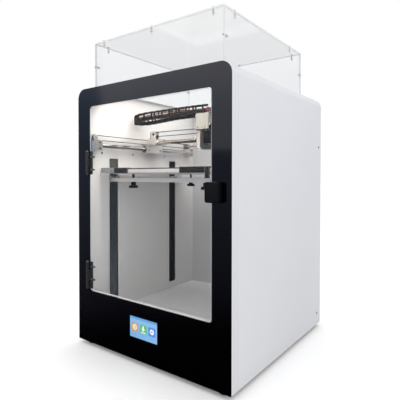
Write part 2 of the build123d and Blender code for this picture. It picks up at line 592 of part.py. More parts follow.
with BuildPart() as x_motor:
    box(XPUL_X - 21, XPUL_X + 21, 272, 307, XBELT_Z - 21, XBELT_Z + 21)
    chamfer(x_motor.edges().filter_by(Axis.Y), 4)
    box(XPUL_X - 21, XPUL_X + 21, 270.02, 272, XBELT_Z - 21, XBELT_Z + 21)
    cyl(XPUL_X, 271, XBELT_Z, 10, 3, "Y", Mode.SUBTRACT)
x_motor.part.label = "x_motor"
export_step(x_motor.part, "parts/x_motor.step")

with BuildPart() as x_belt:
    with BuildSketch(front(XBELT_Y)) as s:
        with Locations((0, XBELT_Z)):
            SlotCenterToCenter(2 * XPUL_X, 2 * P_OUT)
            SlotCenterToCenter(2 * XPUL_X, 2 * P_IN, mode=Mode.SUBTRACT)
    extrude(amount=3, both=True)
x_belt.part.label = "x_belt"
export_step(x_belt.part, "parts/x_belt.step")

# ============================== head =======================================
with BuildPart() as head_carriage:
    box(8, 80, 222, 272, 566, 596)
    for py in (XROD_YA, XROD_YB):
        cyl(44, py, XROD_Z, XROD_R + 0.05, 80, "X", Mode.SUBTRACT)
    cyl(NOZ_X, NOZ_Y, 581, 9.7, 40, mode=Mode.SUBTRACT)
    box(7, 81, 266.5, 273, 584.5, 597, Mode.SUBTRACT)   # passes under the X motor
    # belt clamp round the upper run
    box(10, 24, 222, 232, 596, 598.2)
    box(10, 24, 231, 236, 596, 619)
    box(10, 24, 222, 232, 602.9, 612.1)
    box(10, 24, 222, 232, 614.2, 619)
head_carriage.part.label = "head_carriage"
export_step(head_carriage.part, "parts/head_carriage.step")

with BuildPart() as head_plate:
    box(8, 80, 214.2, 221.9, 549, 604)
    chamfer(head_plate.edges().filter_by(Axis.Y), 2)
head_plate.part.label = "head_plate"
export_step(head_plate.part, "parts/head_plate.step")

with BuildPart() as head_cover:
    with BuildSketch(level(605)) as s:
        with BuildLine() as bl:
            Polyline((70, 184), (70, 268), (25, 268), (25, 236.5), (16, 228), (16, 196), (28, 184), close=True)
        make_face()
        fillet(s.vertices().filter_by(lambda v: v.X > 60), 2)
    extrude(amount=45)
    with BuildSketch(level(604)) as s2:
        with BuildLine() as bl2:
            Polyline((68, 186), (68, 266), (27, 266), (27, 235.7), (18, 227.2), (18, 196.8), (28.8, 186), close=True)
        make_face()
    extrude(amount=44, mode=Mode.SUBTRACT)
    box(10, 80, 220, 237.5, 600, 620.5, Mode.SUBTRACT)
head_cover.part.label = "head_cover"
export_step(head_cover.part, "parts/head_cover.step")

FAN_X, FAN_Z = 56.5, 576.0
with BuildPart() as blower_housing:
    with BuildSketch(front(198.8)) as s:
        with Locations((FAN_X, 574.6)):
            RectangleRounded(51, 51, 7)
    extrude(amount=-15.2)
    with BuildSketch(front(200.3)) as s2:
        with Locations((FAN_X, FAN_Z)):
            Circle(22)
    extrude(amount=-12.2, mode=Mode.SUBTRACT)
    cyl(FAN_X, 199, FAN_Z, 16, 6, "Y", Mode.SUBTRACT)
    box(62, 79, 201, 212, 548, 572, Mode.SUBTRACT)
    cyl(FAN_X, 209.5, FAN_Z, 2.0, 8, "Y")
blower_housing.part.label = "blower_housing"
export_step(blower_housing.part, "parts/blower_housing.step")

with BuildPart() as blower_wheel:
    with BuildSketch(front(202)) as s:
        with Locations((FAN_X, FAN_Z)):
            Circle(20)
            Circle(17.5, mode=Mode.SUBTRACT)
            Circle(9)
            with PolarLocations(13.5, 18):
                Rectangle(10.5, 0.9, rotation=24)
            Circle(2.06, mode=Mode.SUBTRACT)
    extrude(amount=-9)
blower_wheel.part.label = "blower_wheel"
export_step(blower_wheel.part, "parts/blower_wheel.step")

with BuildPart() as extruder:
    box(30, 66, 238.5, 265, 604, 647)
    box(30, 66, 238.5, 265, 596, 604)
    cyl(NOZ_X, NOZ_Y, 598, 9.1, 12, mode=Mode.SUBTRACT)
    chamfer(extruder.edges().filter_by(Axis.Y).group_by(Axis.Z)[-1], 3)
extruder.part.label = "extruder"
export_step(extruder.part, "parts/extruder.step")

with BuildPart() as hot_end:
    for k in range(6):
        cyl(NOZ_X, NOZ_Y, 571.5 + 6.0 * k, 9.0 if k < 5 else 9.0, 2.4)
    cyl(NOZ_X, NOZ_Y, 587.45, 4.5, 33)
    cyl(NOZ_X, NOZ_Y, 567, 3.0, 9)
    box(34, 58, 239, 255, 552.2, 563)
hot_end.part.label = "hot_end"
export_step(hot_end.part, "parts/hot_end.step")

with BuildPart() as nozzle:
    cyl(NOZ_X, NOZ_Y, 550.6, 4.0, 3.2)
    with Locations((NOZ_X, YF + NOZ_Y, ZB + (544.4 + 549.0) / 2)):
        Cone(0.9, 3.6, 4.6)
nozzle.part.label = "nozzle"
export_step(nozzle.part, "parts/nozzle.step")

# ------------------------------ cable chain --------------------------------
# A link chain lying on its side: from the head's cover to the left, round a
# U bend and back behind to a post on the right carriage. Its free bend sags.
CHAIN = [(52, 198, 663.5), (-20, 193, 663), (-90, 178, 659), (-148, 158, 653), (-184, 160, 648),
         (-196, 178, 645), (-184, 198, 646), (-146, 212, 650), (-88, 230, 658), (0, 248, 663),
         (90, 256, 663.5), (184, 257, 663.5)]
LINK, LINK_T, LINK_H, PITCH = 13.0, 15.0, 24.0, 19.5
chain_path = Edge.make_spline([Vector(x, YF + y, ZB + z) for x, y, z in CHAIN])
count = int((chain_path.length - LINK) // PITCH) + 1
link_at = []
for i in range(count):
    t = (LINK / 2 + i * (chain_path.length - LINK) / (count - 1)) / chain_path.length
    p = chain_path.position_at(t)
    d = chain_path.tangent_at(t)
    link_at.append(Location((p.X, p.Y, p.Z), (0, 0, math.degrees(math.atan2(d.Y, d.X)))))
with BuildPart() as cable_chain:
    with Locations(*link_at):
        Box(LINK, LINK_T, LINK_H)
    with Locations(*link_at):
        Box(LINK + 2, LINK_T - 4, LINK_H - 4, mode=Mode.SUBTRACT)
    with Locations(*link_at):
        Box(LINK - 6, LINK_T + 2, LINK_H - 5, mode=Mode.SUBTRACT)
cable_chain.part.label = "cable_chain"
export_step(cable_chain.part, "parts/cable_chain.step")
print("chain length", chain_path.length, "links", count)
print("files", len(os.listdir("parts")))
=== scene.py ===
import bmesh
import bpy
import math
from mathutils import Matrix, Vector


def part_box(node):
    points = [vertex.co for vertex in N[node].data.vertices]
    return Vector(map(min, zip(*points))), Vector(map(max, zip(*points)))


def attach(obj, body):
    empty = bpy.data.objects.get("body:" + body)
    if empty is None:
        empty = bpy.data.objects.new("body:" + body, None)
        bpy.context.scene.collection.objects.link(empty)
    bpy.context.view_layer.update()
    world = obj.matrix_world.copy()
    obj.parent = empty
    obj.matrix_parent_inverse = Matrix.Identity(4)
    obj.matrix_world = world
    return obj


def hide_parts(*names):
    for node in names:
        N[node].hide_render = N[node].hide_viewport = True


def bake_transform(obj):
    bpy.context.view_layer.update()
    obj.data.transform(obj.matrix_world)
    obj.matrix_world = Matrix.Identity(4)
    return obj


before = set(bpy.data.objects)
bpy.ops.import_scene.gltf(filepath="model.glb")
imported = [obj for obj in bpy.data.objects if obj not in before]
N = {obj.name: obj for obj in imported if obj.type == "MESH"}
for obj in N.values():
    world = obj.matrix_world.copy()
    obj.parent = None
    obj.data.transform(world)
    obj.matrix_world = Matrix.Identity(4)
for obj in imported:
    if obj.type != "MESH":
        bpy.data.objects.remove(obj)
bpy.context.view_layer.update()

# Sub-parts are laid out in panel coordinates, in millimetres: x from the
# middle, y back from the front panel's face, z up from the cabinet's underside.
S = 0.001
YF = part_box("front_panel")[0].y * 1000
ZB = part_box("base_plate")[0].z * 1000
rad = math.radians


def P(x, y, z):
    return Vector((x * S, (YF + y) * S, (ZB + z) * S))


# =============================== materials =================================
def _new(name):
    m = bpy.data.materials.new(name)
    m.use_nodes = True
    m.node_tree.nodes.clear()
    return m, m.node_tree.nodes, m.node_tree.links


def _mix(nd, lk, fac, a, b, blend="MIX"):
    x = nd.new("ShaderNodeMix")
    x.data_type = "RGBA"
    x.blend_type = blend
    for i, v in ((0, fac), (6, a), (7, b)):
        if isinstance(v, bpy.types.NodeSocket):
            lk.new(v, x.inputs[i])
        elif i == 0:
            x.inputs[0].default_value = v
        else:
            x.inputs[i].default_value = (*v[:3], 1)
    return x.outputs[2]


def _noise(nd, lk, vec, scale, detail=3.0, rough=0.55, distort=0.0):
    n = nd.new("ShaderNodeTexNoise")
    n.inputs["Scale"].default_value = scale
    n.inputs["Detail"].default_value = detail
    n.inputs["Roughness"].default_value = rough
    n.inputs["Distortion"].default_value = distort
    lk.new(vec, n.inputs["Vector"])
    return n.outputs["Fac"]


def _range(nd, lk, v, a, b, c, d):
    r = nd.new("ShaderNodeMapRange")
    r.inputs[1].default_value, r.inputs[2].default_value = a, b
    r.inputs[3].default_value, r.inputs[4].default_value = c, d
    lk.new(v, r.inputs[0])
    return r.outputs[0]


def surface(name, col, rough=0.5, metal=0.0, tone=0.05, size=35.0, stretch=(1, 1, 1), grain=0.0,
            grain_size=1400.0, smear=0.06, coat=0.0, coat_rough=0.05, spec=0.5, wear=None, soft=0.0,
            glow=None, alpha=None, marks=None):
    """Colour with slow variation, grain in the normal, smears in the roughness and worn edges."""
    m, nd, lk = _new(name)
    out = nd.new("ShaderNodeOutputMaterial")
    b = nd.new("ShaderNodeBsdfPrincipled")
    lk.new(b.outputs[0], out.inputs[0])
    tc = nd.new("ShaderNodeTexCoord")
    mp = nd.new("ShaderNodeMapping")
    mp.inputs["Scale"].default_value = stretch
    lk.new(tc.outputs["Object"], mp.inputs["Vector"])
    vec = mp.outputs[0]
    slow = _noise(nd, lk, vec, size, 4.0, 0.6)
    dark = [c * (1 - tone) for c in col]
    light = [min(1.0, c * (1 + tone)) for c in col]
    colour = _mix(nd, lk, _range(nd, lk, slow, 0.3, 0.7, 0, 1), dark, light)
    if marks:
        mk, amount, msize = marks
        v = _noise(nd, lk, vec, msize, 6.0, 0.7, 0.4)
        colour = _mix(nd, lk, _range(nd, lk, v, 0.55, 0.75, 0, amount), colour, mk)
    if wear and soft:
        g = nd.new("ShaderNodeNewGeometry")
        eb = nd.new("ShaderNodeBevel")
        eb.samples = 4
        eb.inputs["Radius"].default_value = soft * S * 0.8
        dot = nd.new("ShaderNodeVectorMath")
        dot.operation = "DOT_PRODUCT"
        lk.new(eb.outputs[0], dot.inputs[0])
        lk.new(g.outputs["Normal"], dot.inputs[1])
        colour = _mix(nd, lk, _range(nd, lk, dot.outputs["Value"], 0.97, 0.80, 0, 0.5), colour, wear)
    lk.new(colour, b.inputs["Base Color"])
    b.inputs["Metallic"].default_value = metal
    b.inputs["Specular IOR Level"].default_value = spec
    smudge = _noise(nd, lk, tc.outputs["Object"], size * 0.6, 5.0, 0.65, 0.3)
    lk.new(_range(nd, lk, smudge, 0.3, 0.7, max(0.02, rough - smear), min(1, rough + smear)), b.inputs["Roughness"])
    b.inputs["Coat Weight"].default_value = coat
    b.inputs["Coat Roughness"].default_value = coat_rough
    normal = None
    if soft:
        bv = nd.new("ShaderNodeBevel")
        bv.samples = 4
        bv.inputs["Radius"].default_value = soft * S
        normal = bv.outputs[0]
    if grain:
        fine = _noise(nd, lk, vec, grain_size, 2.0, 0.5)
        bp = nd.new("ShaderNodeBump")
        bp.inputs["Strength"].default_value = grain
        bp.inputs["Distance"].default_value = 0.0003
        lk.new(fine, bp.inputs["Height"])
        if normal:
            lk.new(normal, bp.inputs["Normal"])
        normal = bp.outputs[0]
    if normal:
        lk.new(normal, b.inputs["Normal"])
    if glow:
        b.inputs["Emission Color"].default_value = (*glow[0], 1)
        b.inputs["Emission Strength"].default_value = glow[1]
    return m


def patch(m, col, *spans):
    """Another colour where the object coordinates run through all the given spans."""
    nd, lk = m.node_tree.nodes, m.node_tree.links
    b = next(n for n in nd if n.type == "BSDF_PRINCIPLED")
    before = b.inputs["Base Color"].links[0].from_socket
    tc = nd.new("ShaderNodeTexCoord")
    sep = nd.new("ShaderNodeSeparateXYZ")
    lk.new(tc.outputs["Object"], sep.inputs[0])
    fac = None
    for axis, a, c in spans:
        f = _range(nd, lk, sep.outputs["XYZ".index(axis)], a, c, 0.0, 1.0)
        if fac is not None:
            mul = nd.new("ShaderNodeMath")
            mul.operation = "MULTIPLY"
            lk.new(fac, mul.inputs[0])
            lk.new(f, mul.inputs[1])
            f = mul.outputs[0]
        fac = f
    lk.new(_mix(nd, lk, fac, before, col), b.inputs["Base Color"])
    return m


def pane(name, tint, gloss_rough=0.02, film=0.03, haze=(1, 1, 1), f0=0.035, edge_on=0.65):
    """Clear sheet: what is behind shows through, with a Fresnel gloss and a faint film of dust."""
    m, nd, lk = _new(name)
    out = nd.new("ShaderNodeOutputMaterial")
    tc = nd.new("ShaderNodeTexCoord")
    t = nd.new("ShaderNodeBsdfTransparent")
    v = _noise(nd, lk, tc.outputs["Object"], 9.0, 3.0, 0.6)
    lk.new(_mix(nd, lk, v, [c * 0.985 for c in tint], tint), t.inputs[0])
    g = nd.new("ShaderNodeBsdfAnisotropic")
    g.inputs["Color"].default_value = (1, 1, 1, 1)
    sm = _noise(nd, lk, tc.outputs["Object"], 26.0, 5.0, 0.6, 0.4)
    lk.new(_range(nd, lk, sm, 0.3, 0.7, gloss_rough, gloss_rough + 0.05), g.inputs["Roughness"])
    d = nd.new("ShaderNodeBsdfDiffuse")
    d.inputs[0].default_value = (*haze, 1)
    lw = nd.new("ShaderNodeLayerWeight")
    lw.inputs[0].default_value = 0.5
    pw = nd.new("ShaderNodeMath")
    pw.operation = "POWER"
    pw.inputs[1].default_value = 5.0
    lk.new(lw.outputs["Facing"], pw.inputs[0])
    fresnel = _range(nd, lk, pw.outputs[0], 0.0, 1.0, f0, edge_on)
    a = nd.new("ShaderNodeMixShader")
    dust = _noise(nd, lk, tc.outputs["Object"], 300.0, 4.0, 0.7)
    lk.new(_range(nd, lk, dust, 0.45, 0.8, film * 0.4, film * 1.6), a.inputs[0])
    lk.new(t.outputs[0], a.inputs[1])
    lk.new(d.outputs[0], a.inputs[2])
    x = nd.new("ShaderNodeMixShader")
    lk.new(fresnel, x.inputs[0])
    lk.new(a.outputs[0], x.inputs[1])
    lk.new(g.outputs[0], x.inputs[2])
    lk.new(x.outputs[0], out.inputs[0])
    return m


white_coat = surface("white_powder_coat", (0.67, 0.675, 0.70), 0.42, tone=0.012, size=4, grain=0.10, grain_size=900, smear=0.05, soft=0.6)
# The head's cover and plate are one white coat in two copies: the cover darker as painted shade, the plate lighter as
# painted light.
head_cover_white_painted_shade = surface("head_cover_coat_painted_shade", (0.27, 0.266, 0.252), 0.42, tone=0.015, size=30, grain=0.10, grain_size=900, smear=0.05, soft=0.5)
head_plate_white_painted_light = surface("head_plate_coat_painted_light", (0.50, 0.495, 0.48), 0.45, tone=0.02, size=30, grain=0.12, grain_size=900, smear=0.05, soft=0.5)
inner_white = surface("inner_white_coat", (0.80, 0.79, 0.785), 0.5, tone=0.015, size=5, grain=0.12, grain_size=900, smear=0.05, soft=0.5)
back_grey = surface("inner_back_coat", (0.61, 0.61, 0.62), 0.5, tone=0.015, size=5, grain=0.12, grain_size=900, soft=0.5)
gloss_black = surface("gloss_black_panel", (0.0004, 0.0004, 0.0006), 0.09, tone=0.15, size=12, smear=0.03, spec=0.5, soft=0.5)
strip_black = surface("gloss_black_strip", (0.034, 0.044, 0.051), 0.30, tone=0.05, size=5, smear=0.01, spec=0.14, soft=0.3)
# Painted reflections: the strips turn lighter blue-grey towards the bottom and warm brown near the top. Painted shade:
# the rear strips are near black.
patch(strip_black, (0.11, 0.13, 0.15), ("Z", 0.36, 0.12))
patch(strip_black, (0.105, 0.11, 0.088), ("Z", 0.46, 0.52))
patch(strip_black, (0.001, 0.001, 0.0016), ("Y", -0.12, 0.0))
black_plastic = surface("black_plastic", (0.016, 0.017, 0.019), 0.48, tone=0.15, size=60, grain=0.25, grain_size=1800, smear=0.08, wear=(0.09, 0.09, 0.095), soft=0.4)
black_satin = surface("black_satin", (0.022, 0.023, 0.026), 0.34, tone=0.12, size=50, grain=0.08, smear=0.08, wear=(0.12, 0.12, 0.12), soft=0.4)
black_iron = surface("black_painted_steel", (0.010, 0.0105, 0.0115), 0.40, tone=0.15, size=70, grain=0.2, grain_size=1100, smear=0.1, spec=0.3, wear=(0.09, 0.09, 0.09), soft=0.4)
alu = surface("milled_aluminium", (0.66, 0.64, 0.61), 0.33, 1.0, tone=0.06, size=50, stretch=(1, 1, 9), grain=0.12, grain_size=700, smear=0.09, soft=0.35)
rod_block = patch(surface("milled_end_block", (0.66, 0.64, 0.61), 0.33, 1.0, tone=0.06, size=50, stretch=(1, 1, 9), grain=0.12, grain_size=700, smear=0.09, soft=0.35),
                  (0.018, 0.018, 0.020), ("X", 0.02, 0.03), ("Y", -0.10, -0.11))
plate_alu = surface("heater_plate_aluminium", (0.72, 0.68, 0.66), 0.42, 0.25, tone=0.04, size=60, grain=0.1, grain_size=800, smear=0.06, soft=0.35)
# The chamber floor is a lighter copy of the inner white coat: painted light.
chamber_floor_white_painted_light = surface("chamber_floor_coat_painted_light", (0.92, 0.92, 0.925), 0.45, tone=0.012, size=5, grain=0.12, grain_size=900, smear=0.05, soft=0.5)
handle_black = surface("moulded_handle", (0.0035, 0.0045, 0.006), 0.40, tone=0.12, size=50, grain=0.2, grain_size=1600, smear=0.06, spec=0.14, wear=(0.02, 0.02, 0.022), soft=0.4)
chain_black = surface("chain_plastic", (0.0045, 0.0045, 0.005), 0.5, tone=0.15, size=90, grain=0.15, grain_size=1500, smear=0.06, spec=0.12, wear=(0.03, 0.03, 0.03), soft=0.3)
alu_x = surface("brushed_aluminium_bar", (0.66, 0.645, 0.62), 0.36, 0.55, tone=0.07, size=60, stretch=(0.12, 1, 1), grain=0.15, grain_size=900, smear=0.08, soft=0.35)
alu_light = surface("bright_aluminium", (0.80, 0.785, 0.76), 0.30, 1.0, tone=0.05, size=70, grain=0.1, grain_size=800, smear=0.08, soft=0.35)
steel = surface("ground_steel", (0.42, 0.42, 0.43), 0.28, 1.0, tone=0.08, size=90, stretch=(1, 1, 0.1), grain=0.12, grain_size=900, smear=0.08, soft=0.3)
rod_y = surface("chromed_rod_y", (0.62, 0.61, 0.60), 0.10, 1.0, tone=0.05, size=160, stretch=(1, 0.05, 1), grain=0.05, grain_size=900, smear=0.03)
rod_x = surface("chromed_rod_x", (0.66, 0.58, 0.51), 0.12, 1.0, tone=0.06, size=160, stretch=(0.05, 1, 1), grain=0.05, grain_size=900, smear=0.03)
screw_steel = surface("screw_steel", (0.36, 0.36, 0.37), 0.30, 1.0, tone=0.1, size=300, smear=0.1)
screw_black = surface("black_oxide_screw", (0.03, 0.03, 0.032), 0.36, 0.6, tone=0.2, size=300, smear=0.1)
clamp_grey = surface("clamp_aluminium", (0.36, 0.36, 0.37), 0.38, 0.4, tone=0.08, size=60, grain=0.12, grain_size=800, smear=0.08, soft=0.35)
hood_metal = surface("nickel_fixing", (0.60, 0.60, 0.61), 0.35, 0.4, tone=0.08, size=300, smear=0.08)
rubber = surface("rubber", (0.018, 0.018, 0.018), 0.72, tone=0.12, size=120, grain=0.3, grain_size=900)
belt_rubber = surface("belt_rubber", (0.012, 0.0105, 0.009), 0.66, spec=0.15, tone=0.15, size=200, grain=0.25, grain_size=1500)
brass = surface("brass", (0.72, 0.52, 0.22), 0.28, 1.0, tone=0.08, size=300, grain=0.08, smear=0.1)
bakelite = surface("brown_laminate", (0.20, 0.105, 0.055), 0.45, tone=0.15, size=300, stretch=(1, 1, 6), grain=0.15)
wire_red = surface("red_wire", (0.15, 0.022, 0.022), 0.5, tone=0.12, size=120, smear=0.08)
wire_brown = surface("brown_wire", (0.13, 0.05, 0.035), 0.5, tone=0.12, size=120, smear=0.08)
wire_black = surface("black_wire", (0.02, 0.02, 0.022), 0.5, tone=0.15, size=120, smear=0.08)
wire_white = surface("white_tube", (0.50, 0.48, 0.46), 0.35, tone=0.04, size=120, smear=0.08)
board_green = surface("circuit_board", (0.02, 0.11, 0.05), 0.35, tone=0.25, size=400, grain=0.3, grain_size=600, marks=((0.10, 0.30, 0.14), 0.6, 500))
psu_metal = surface("perforated_case", (0.60, 0.60, 0.61), 0.35, 1.0, tone=0.05, size=40, grain=0.2, grain_size=400)
cork = surface("foam_sheet", (0.50, 0.48, 0.46), 0.85, tone=0.3, size=350, grain=0.6, grain_size=500)
glass_plate = surface("print_glass", (0.035, 0.04, 0.045), 0.08, tone=0.1, size=30, smear=0.03, spec=0.6, soft=0.3, marks=((0.07, 0.075, 0.08), 0.3, 60))
clear_hood = pane("clear_hood_sheet", (0.972, 0.974, 0.976), 0.02, 0.005, f0=0.012, edge_on=0.30)
clear_door = pane("clear_door_sheet", (0.985, 0.99, 0.99), 0.015, 0.003, f0=0.008)
# The hood's sheet edges glow a little: painted light.
hood_edge_painted_glow = surface("hood_sheet_edge_painted_glow", (0.60, 0.61, 0.62), 0.3, tone=0.06, size=25, smear=0.08, spec=0.3, glow=((0.8, 0.82, 0.84), 0.13))
# The door sheet's edges glow a little: painted light.
door_edge_painted_glow = surface("door_sheet_edge_painted_glow", (0.62, 0.66, 0.68), 0.15, tone=0.05, size=25, smear=0.05, glow=((0.75, 0.8, 0.85), 0.10))
led_white = surface("diffuser", (0.9, 0.86, 0.78), 0.5, tone=0.02, size=60, glow=((1.0, 0.93, 0.8), 2.2))
# Black rubber for the rod seals; also the dark patches of the head cover's slots, which are painted shade.
seal_black_and_slot_shade = surface("seal", (0.012, 0.012, 0.012), 0.4, tone=0.1, size=200, smear=0.1)


# ============================== mesh builder ===============================
def arc_pts(cx, cy, r, a0, a1, n):
    return [(cx + r * math.cos(rad(a0 + (a1 - a0) * i / n)), cy + r * math.sin(rad(a0 + (a1 - a0) * i / n))) for i in range(n + 1)]


def rrect(x0, x1, y0, y1, r, n=6):
    r = max(min(r, (x1 - x0) / 2 - 1e-4, (y1 - y0) / 2 - 1e-4), 1e-3)
    return (arc_pts(x1 - r, y1 - r, r, 0, 90, n) + arc_pts(x0 + r, y1 - r, r, 90, 180, n)
            + arc_pts(x0 + r, y0 + r, r, 180, 270, n) + arc_pts(x1 - r, y0 + r, r, 270, 360, n))


def circle(cx, cy, r, n=32):
    return [(cx + r * math.cos(2 * math.pi * i / n), cy + r * math.sin(2 * math.pi * i / n)) for i in range(n)]


def at(axis, u, v, w):
    """A point with w along the axis; u, v are the other two coordinates in order."""
    return {"X": P(w, u, v), "Y": P(u, w, v), "Z": P(u, v, w)}[axis]


class Piece:
    def __init__(self, name):
        self.name, self.bm, self.mats = name, bmesh.new(), []

    def _add(self, bm, mat, bev=0.0, seg=2, side_mat=None, axis=None):
        bmesh.ops.recalc_face_normals(bm, faces=bm.faces)
        def index(m):
            if m not in self.mats:
                self.mats.append(m)
            return self.mats.index(m)
        k = index(mat)
        if side_mat:
            ks = index(side_mat)
            ax = {"X": 0, "Y": 1, "Z": 2}[axis]
        for f in bm.faces:
            f.material_index = ks if side_mat and abs(f.normal[ax]) < 0.5 else k
        if bev:
            edges = [e for e in bm.edges if e.is_manifold and e.calc_face_angle(0) > rad(28)]
            bmesh.ops.bevel(bm, geom=edges, offset=bev * S, segments=seg, profile=0.5, affect="EDGES", clamp_overlap=True)
        for f in bm.faces:
            f.smooth = True
        for e in bm.edges:
            e.smooth = not (e.is_manifold and e.calc_face_angle(0) > rad(38))
        me = bpy.data.meshes.new("part")
        bm.to_mesh(me)
        bm.free()
        self.bm.from_mesh(me)
        bpy.data.meshes.remove(me)
        return self

    def prism(self, pts, axis, a, b, mat, bev=0.0, seg=2, side_mat=None):
        bm = bmesh.new()
        lo = [bm.verts.new(at(axis, u, v, a)) for u, v in pts]
        hi = [bm.verts.new(at(axis, u, v, b)) for u, v in pts]
        bm.faces.new(lo[::-1])
        bm.faces.new(hi)
        n = len(pts)
        for i in range(n):
            bm.faces.new((lo[i], lo[(i + 1) % n], hi[(i + 1) % n], hi[i]))
        return self._add(bm, mat, bev, seg, side_mat, axis)

    def box(self, x0, x1, y0, y1, z0, z1, mat, bev=0.4, seg=2):
        return self.prism([(x0, y0), (x1, y0), (x1, y1), (x0, y1)], "Z", z0, z1, mat, bev, seg)

    def ring(self, outer, inner, axis, a, b, mat, bev=0.0, seg=2, side_mat=None):
        """A plate between two outlines with the same number of points."""
        bm = bmesh.new()
        n = len(outer)
        v = [[bm.verts.new(at(axis, p[0], p[1], w)) for p in o] for w in (a, b) for o in (outer, inner)]
        for i in range(n):
            j = (i + 1) % n
            bm.faces.new((v[0][i], v[0][j], v[1][j], v[1][i]))
            bm.faces.new((v[2][i], v[3][i], v[3][j], v[2][j]))
            bm.faces.new((v[0][i], v[2][i], v[2][j], v[0][j]))
            bm.faces.new((v[1][i], v[1][j], v[3][j], v[3][i]))
        return self._add(bm, mat, bev, seg, side_mat, axis)

    def cyl(self, x, y, z, r, length, axis, mat, n=32, bev=0.0):
        u, v, w = {"X": (y, z, x), "Y": (x, z, y), "Z": (x, y, z)}[axis]
        return self.prism(circle(u, v, r, n), axis, w - length / 2, w + length / 2, mat, bev)

    def lathe(self, x, y, z, axis, profile, mat, n=32, closed=True):
        """profile: (radius, offset along the axis); a radius of 0 closes on the axis."""
        bm = bmesh.new()
        u0, v0, w0 = {"X": (y, z, x), "Y": (x, z, y), "Z": (x, y, z)}[axis]
        rows = []
        for r, h in profile:
            if r <= 1e-6:
                rows.append([bm.verts.new(at(axis, u0, v0, w0 + h))] * n)
            else:
                rows.append([bm.verts.new(at(axis, u0 + r * math.cos(2 * math.pi * i / n), v0 + r * math.sin(2 * math.pi * i / n), w0 + h)) for i in range(n)])
        pairs = list(zip(rows, rows[1:])) + ([(rows[-1], rows[0])] if closed else [])
        for a, b in pairs:
            for i in range(n):
                j = (i + 1) % n
                q = []
                for vert in (a[i], a[j], b[j], b[i]):
                    if vert not in q:
                        q.append(vert)
                if len(q) > 2:
                    bm.faces.new(q)
        return self._add(bm, mat)

    def screw(self, x, y, z, axis, sign, r, h, mat, hexa=0.52, turn=15.0):
        """A cap screw head standing on (x, y, z), with a socket."""
        bm = bmesh.new()
        n = 24
        u0, v0, w0 = {"X": (y, z, x), "Y": (x, z, y), "Z": (x, y, z)}[axis]
        def row(f, hh):
            return [bm.verts.new(at(axis, u0 + f(i) * math.cos(2 * math.pi * i / n), v0 + f(i) * math.sin(2 * math.pi * i / n), w0 + sign * hh)) for i in range(n)]
        def hx(i):
            a = (360.0 * i / n + turn) % 60 - 30
            return hexa * r * math.cos(rad(30)) / math.cos(rad(a))
        rows = [row(lambda i: r, 0), row(lambda i: r, h * 0.72), row(lambda i: r * 0.93, h * 0.93), row(lambda i: r * 0.84, h),
                row(hx, h), row(hx, h * 0.45)]
        for a, b in zip(rows, rows[1:]):
            for i in range(n):
                j = (i + 1) % n
                bm.faces.new((a[i], a[j], b[j], b[i]))
        bm.faces.new(rows[0])
        bm.faces.new(rows[-1])
        return self._add(bm, mat)

    def tube(self, pts, r, mat, n=10, caps=True):
        """A round tube through points in the row frame, in metres."""
        bm = bmesh.new()
        rows = []
        up = Vector((0, 0, 1))
        for i, p in enumerate(pts):
            d = (pts[min(i + 1, len(pts) - 1)] - pts[max(i - 1, 0)]).normalized()
            s = d.cross(up)
            s = s.normalized() if s.length > 1e-4 else Vector((1, 0, 0))
            t = s.cross(d).normalized()
            rr = r * S if not callable(r) else r(i) * S
            rows.append([bm.verts.new(p + s * (rr * math.cos(2 * math.pi * k / n)) + t * (rr * math.sin(2 * math.pi * k / n))) for k in range(n)])
        for a, b in zip(rows, rows[1:]):
            for k in range(n):
                j = (k + 1) % n
                bm.faces.new((a[k], a[j], b[j], b[k]))
        if caps:
            bm.faces.new(rows[0][::-1])
            bm.faces.new(rows[-1])
        return self._add(bm, mat)

    def quads(self, grid_fn, nu, nv, mat, wrap_u=False):
        bm = bmesh.new()
        g = [[bm.verts.new(grid_fn(i, j)) for i in range(nu)] for j in range(nv)]
        for j in range(nv - 1):
            for i in range(nu if wrap_u else nu - 1):
                k = (i + 1) % nu
                bm.faces.new((g[j][i], g[j][k], g[j + 1][k], g[j + 1][i]))
        if wrap_u:
            bm.faces.new(g[0][::-1])
            bm.faces.new(g[-1])
        return self._add(bm, mat)

    def done(self, body=None, replaces=()):
        me = bpy.data.meshes.new(self.name)
        self.bm.to_mesh(me)
        self.bm.free()
        for m in self.mats:
            me.materials.append(m)
        o = bpy.data.objects.new(self.name, me)
        bpy.context.scene.collection.objects.link(o)
        if body:
            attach(o, body)
        if replaces:
            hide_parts(*replaces)
        return o


def wear(node, mat):
    o = N[node]
    o.data.materials.clear()
    o.data.materials.append(mat)
    for s in o.material_slots:
        s.material = mat


# ============================ CAD nodes that stay ==========================
for node, m in {
    "outer_shell": white_coat, "front_panel": gloss_black, "rear_panel": white_coat, "base_plate": black_iron,
    "chamber_floor": chamber_floor_white_painted_light, "left_wall": inner_white, "right_wall": inner_white, "back_wall": back_grey,
    "z_guides": steel, "z_cover_strips": strip_black, "y_rods": rod_y, "y_rod_blocks": rod_block, "power_supply": psu_metal,
    "control_board": board_green, "power_entry": black_plastic, "rocker": black_satin,
    "hinge_leaves_frame": black_satin, "hinge_leaves_door": black_satin, "door_catch": steel,
    "bed_frame": alu_x, "bed_brackets": alu, "heated_plate": plate_alu, "print_surface": glass_plate,
    "y_carriages": alu_light, "x_rods": rod_x, "x_idler": alu_light, "x_motor_pulley": alu_light,
    "y_front_pulleys": alu_light, "y_drive_shaft": steel, "head_carriage": alu, "head_plate": head_plate_white_painted_light,
    "head_cover": head_cover_white_painted_shade, "blower_housing": black_satin, "blower_wheel": black_plastic, "extruder": black_iron,
    "hot_end": alu_light, "nozzle": brass, "led_bar": alu, "screen_module": black_plastic,
}.items():
    wear(node, m)


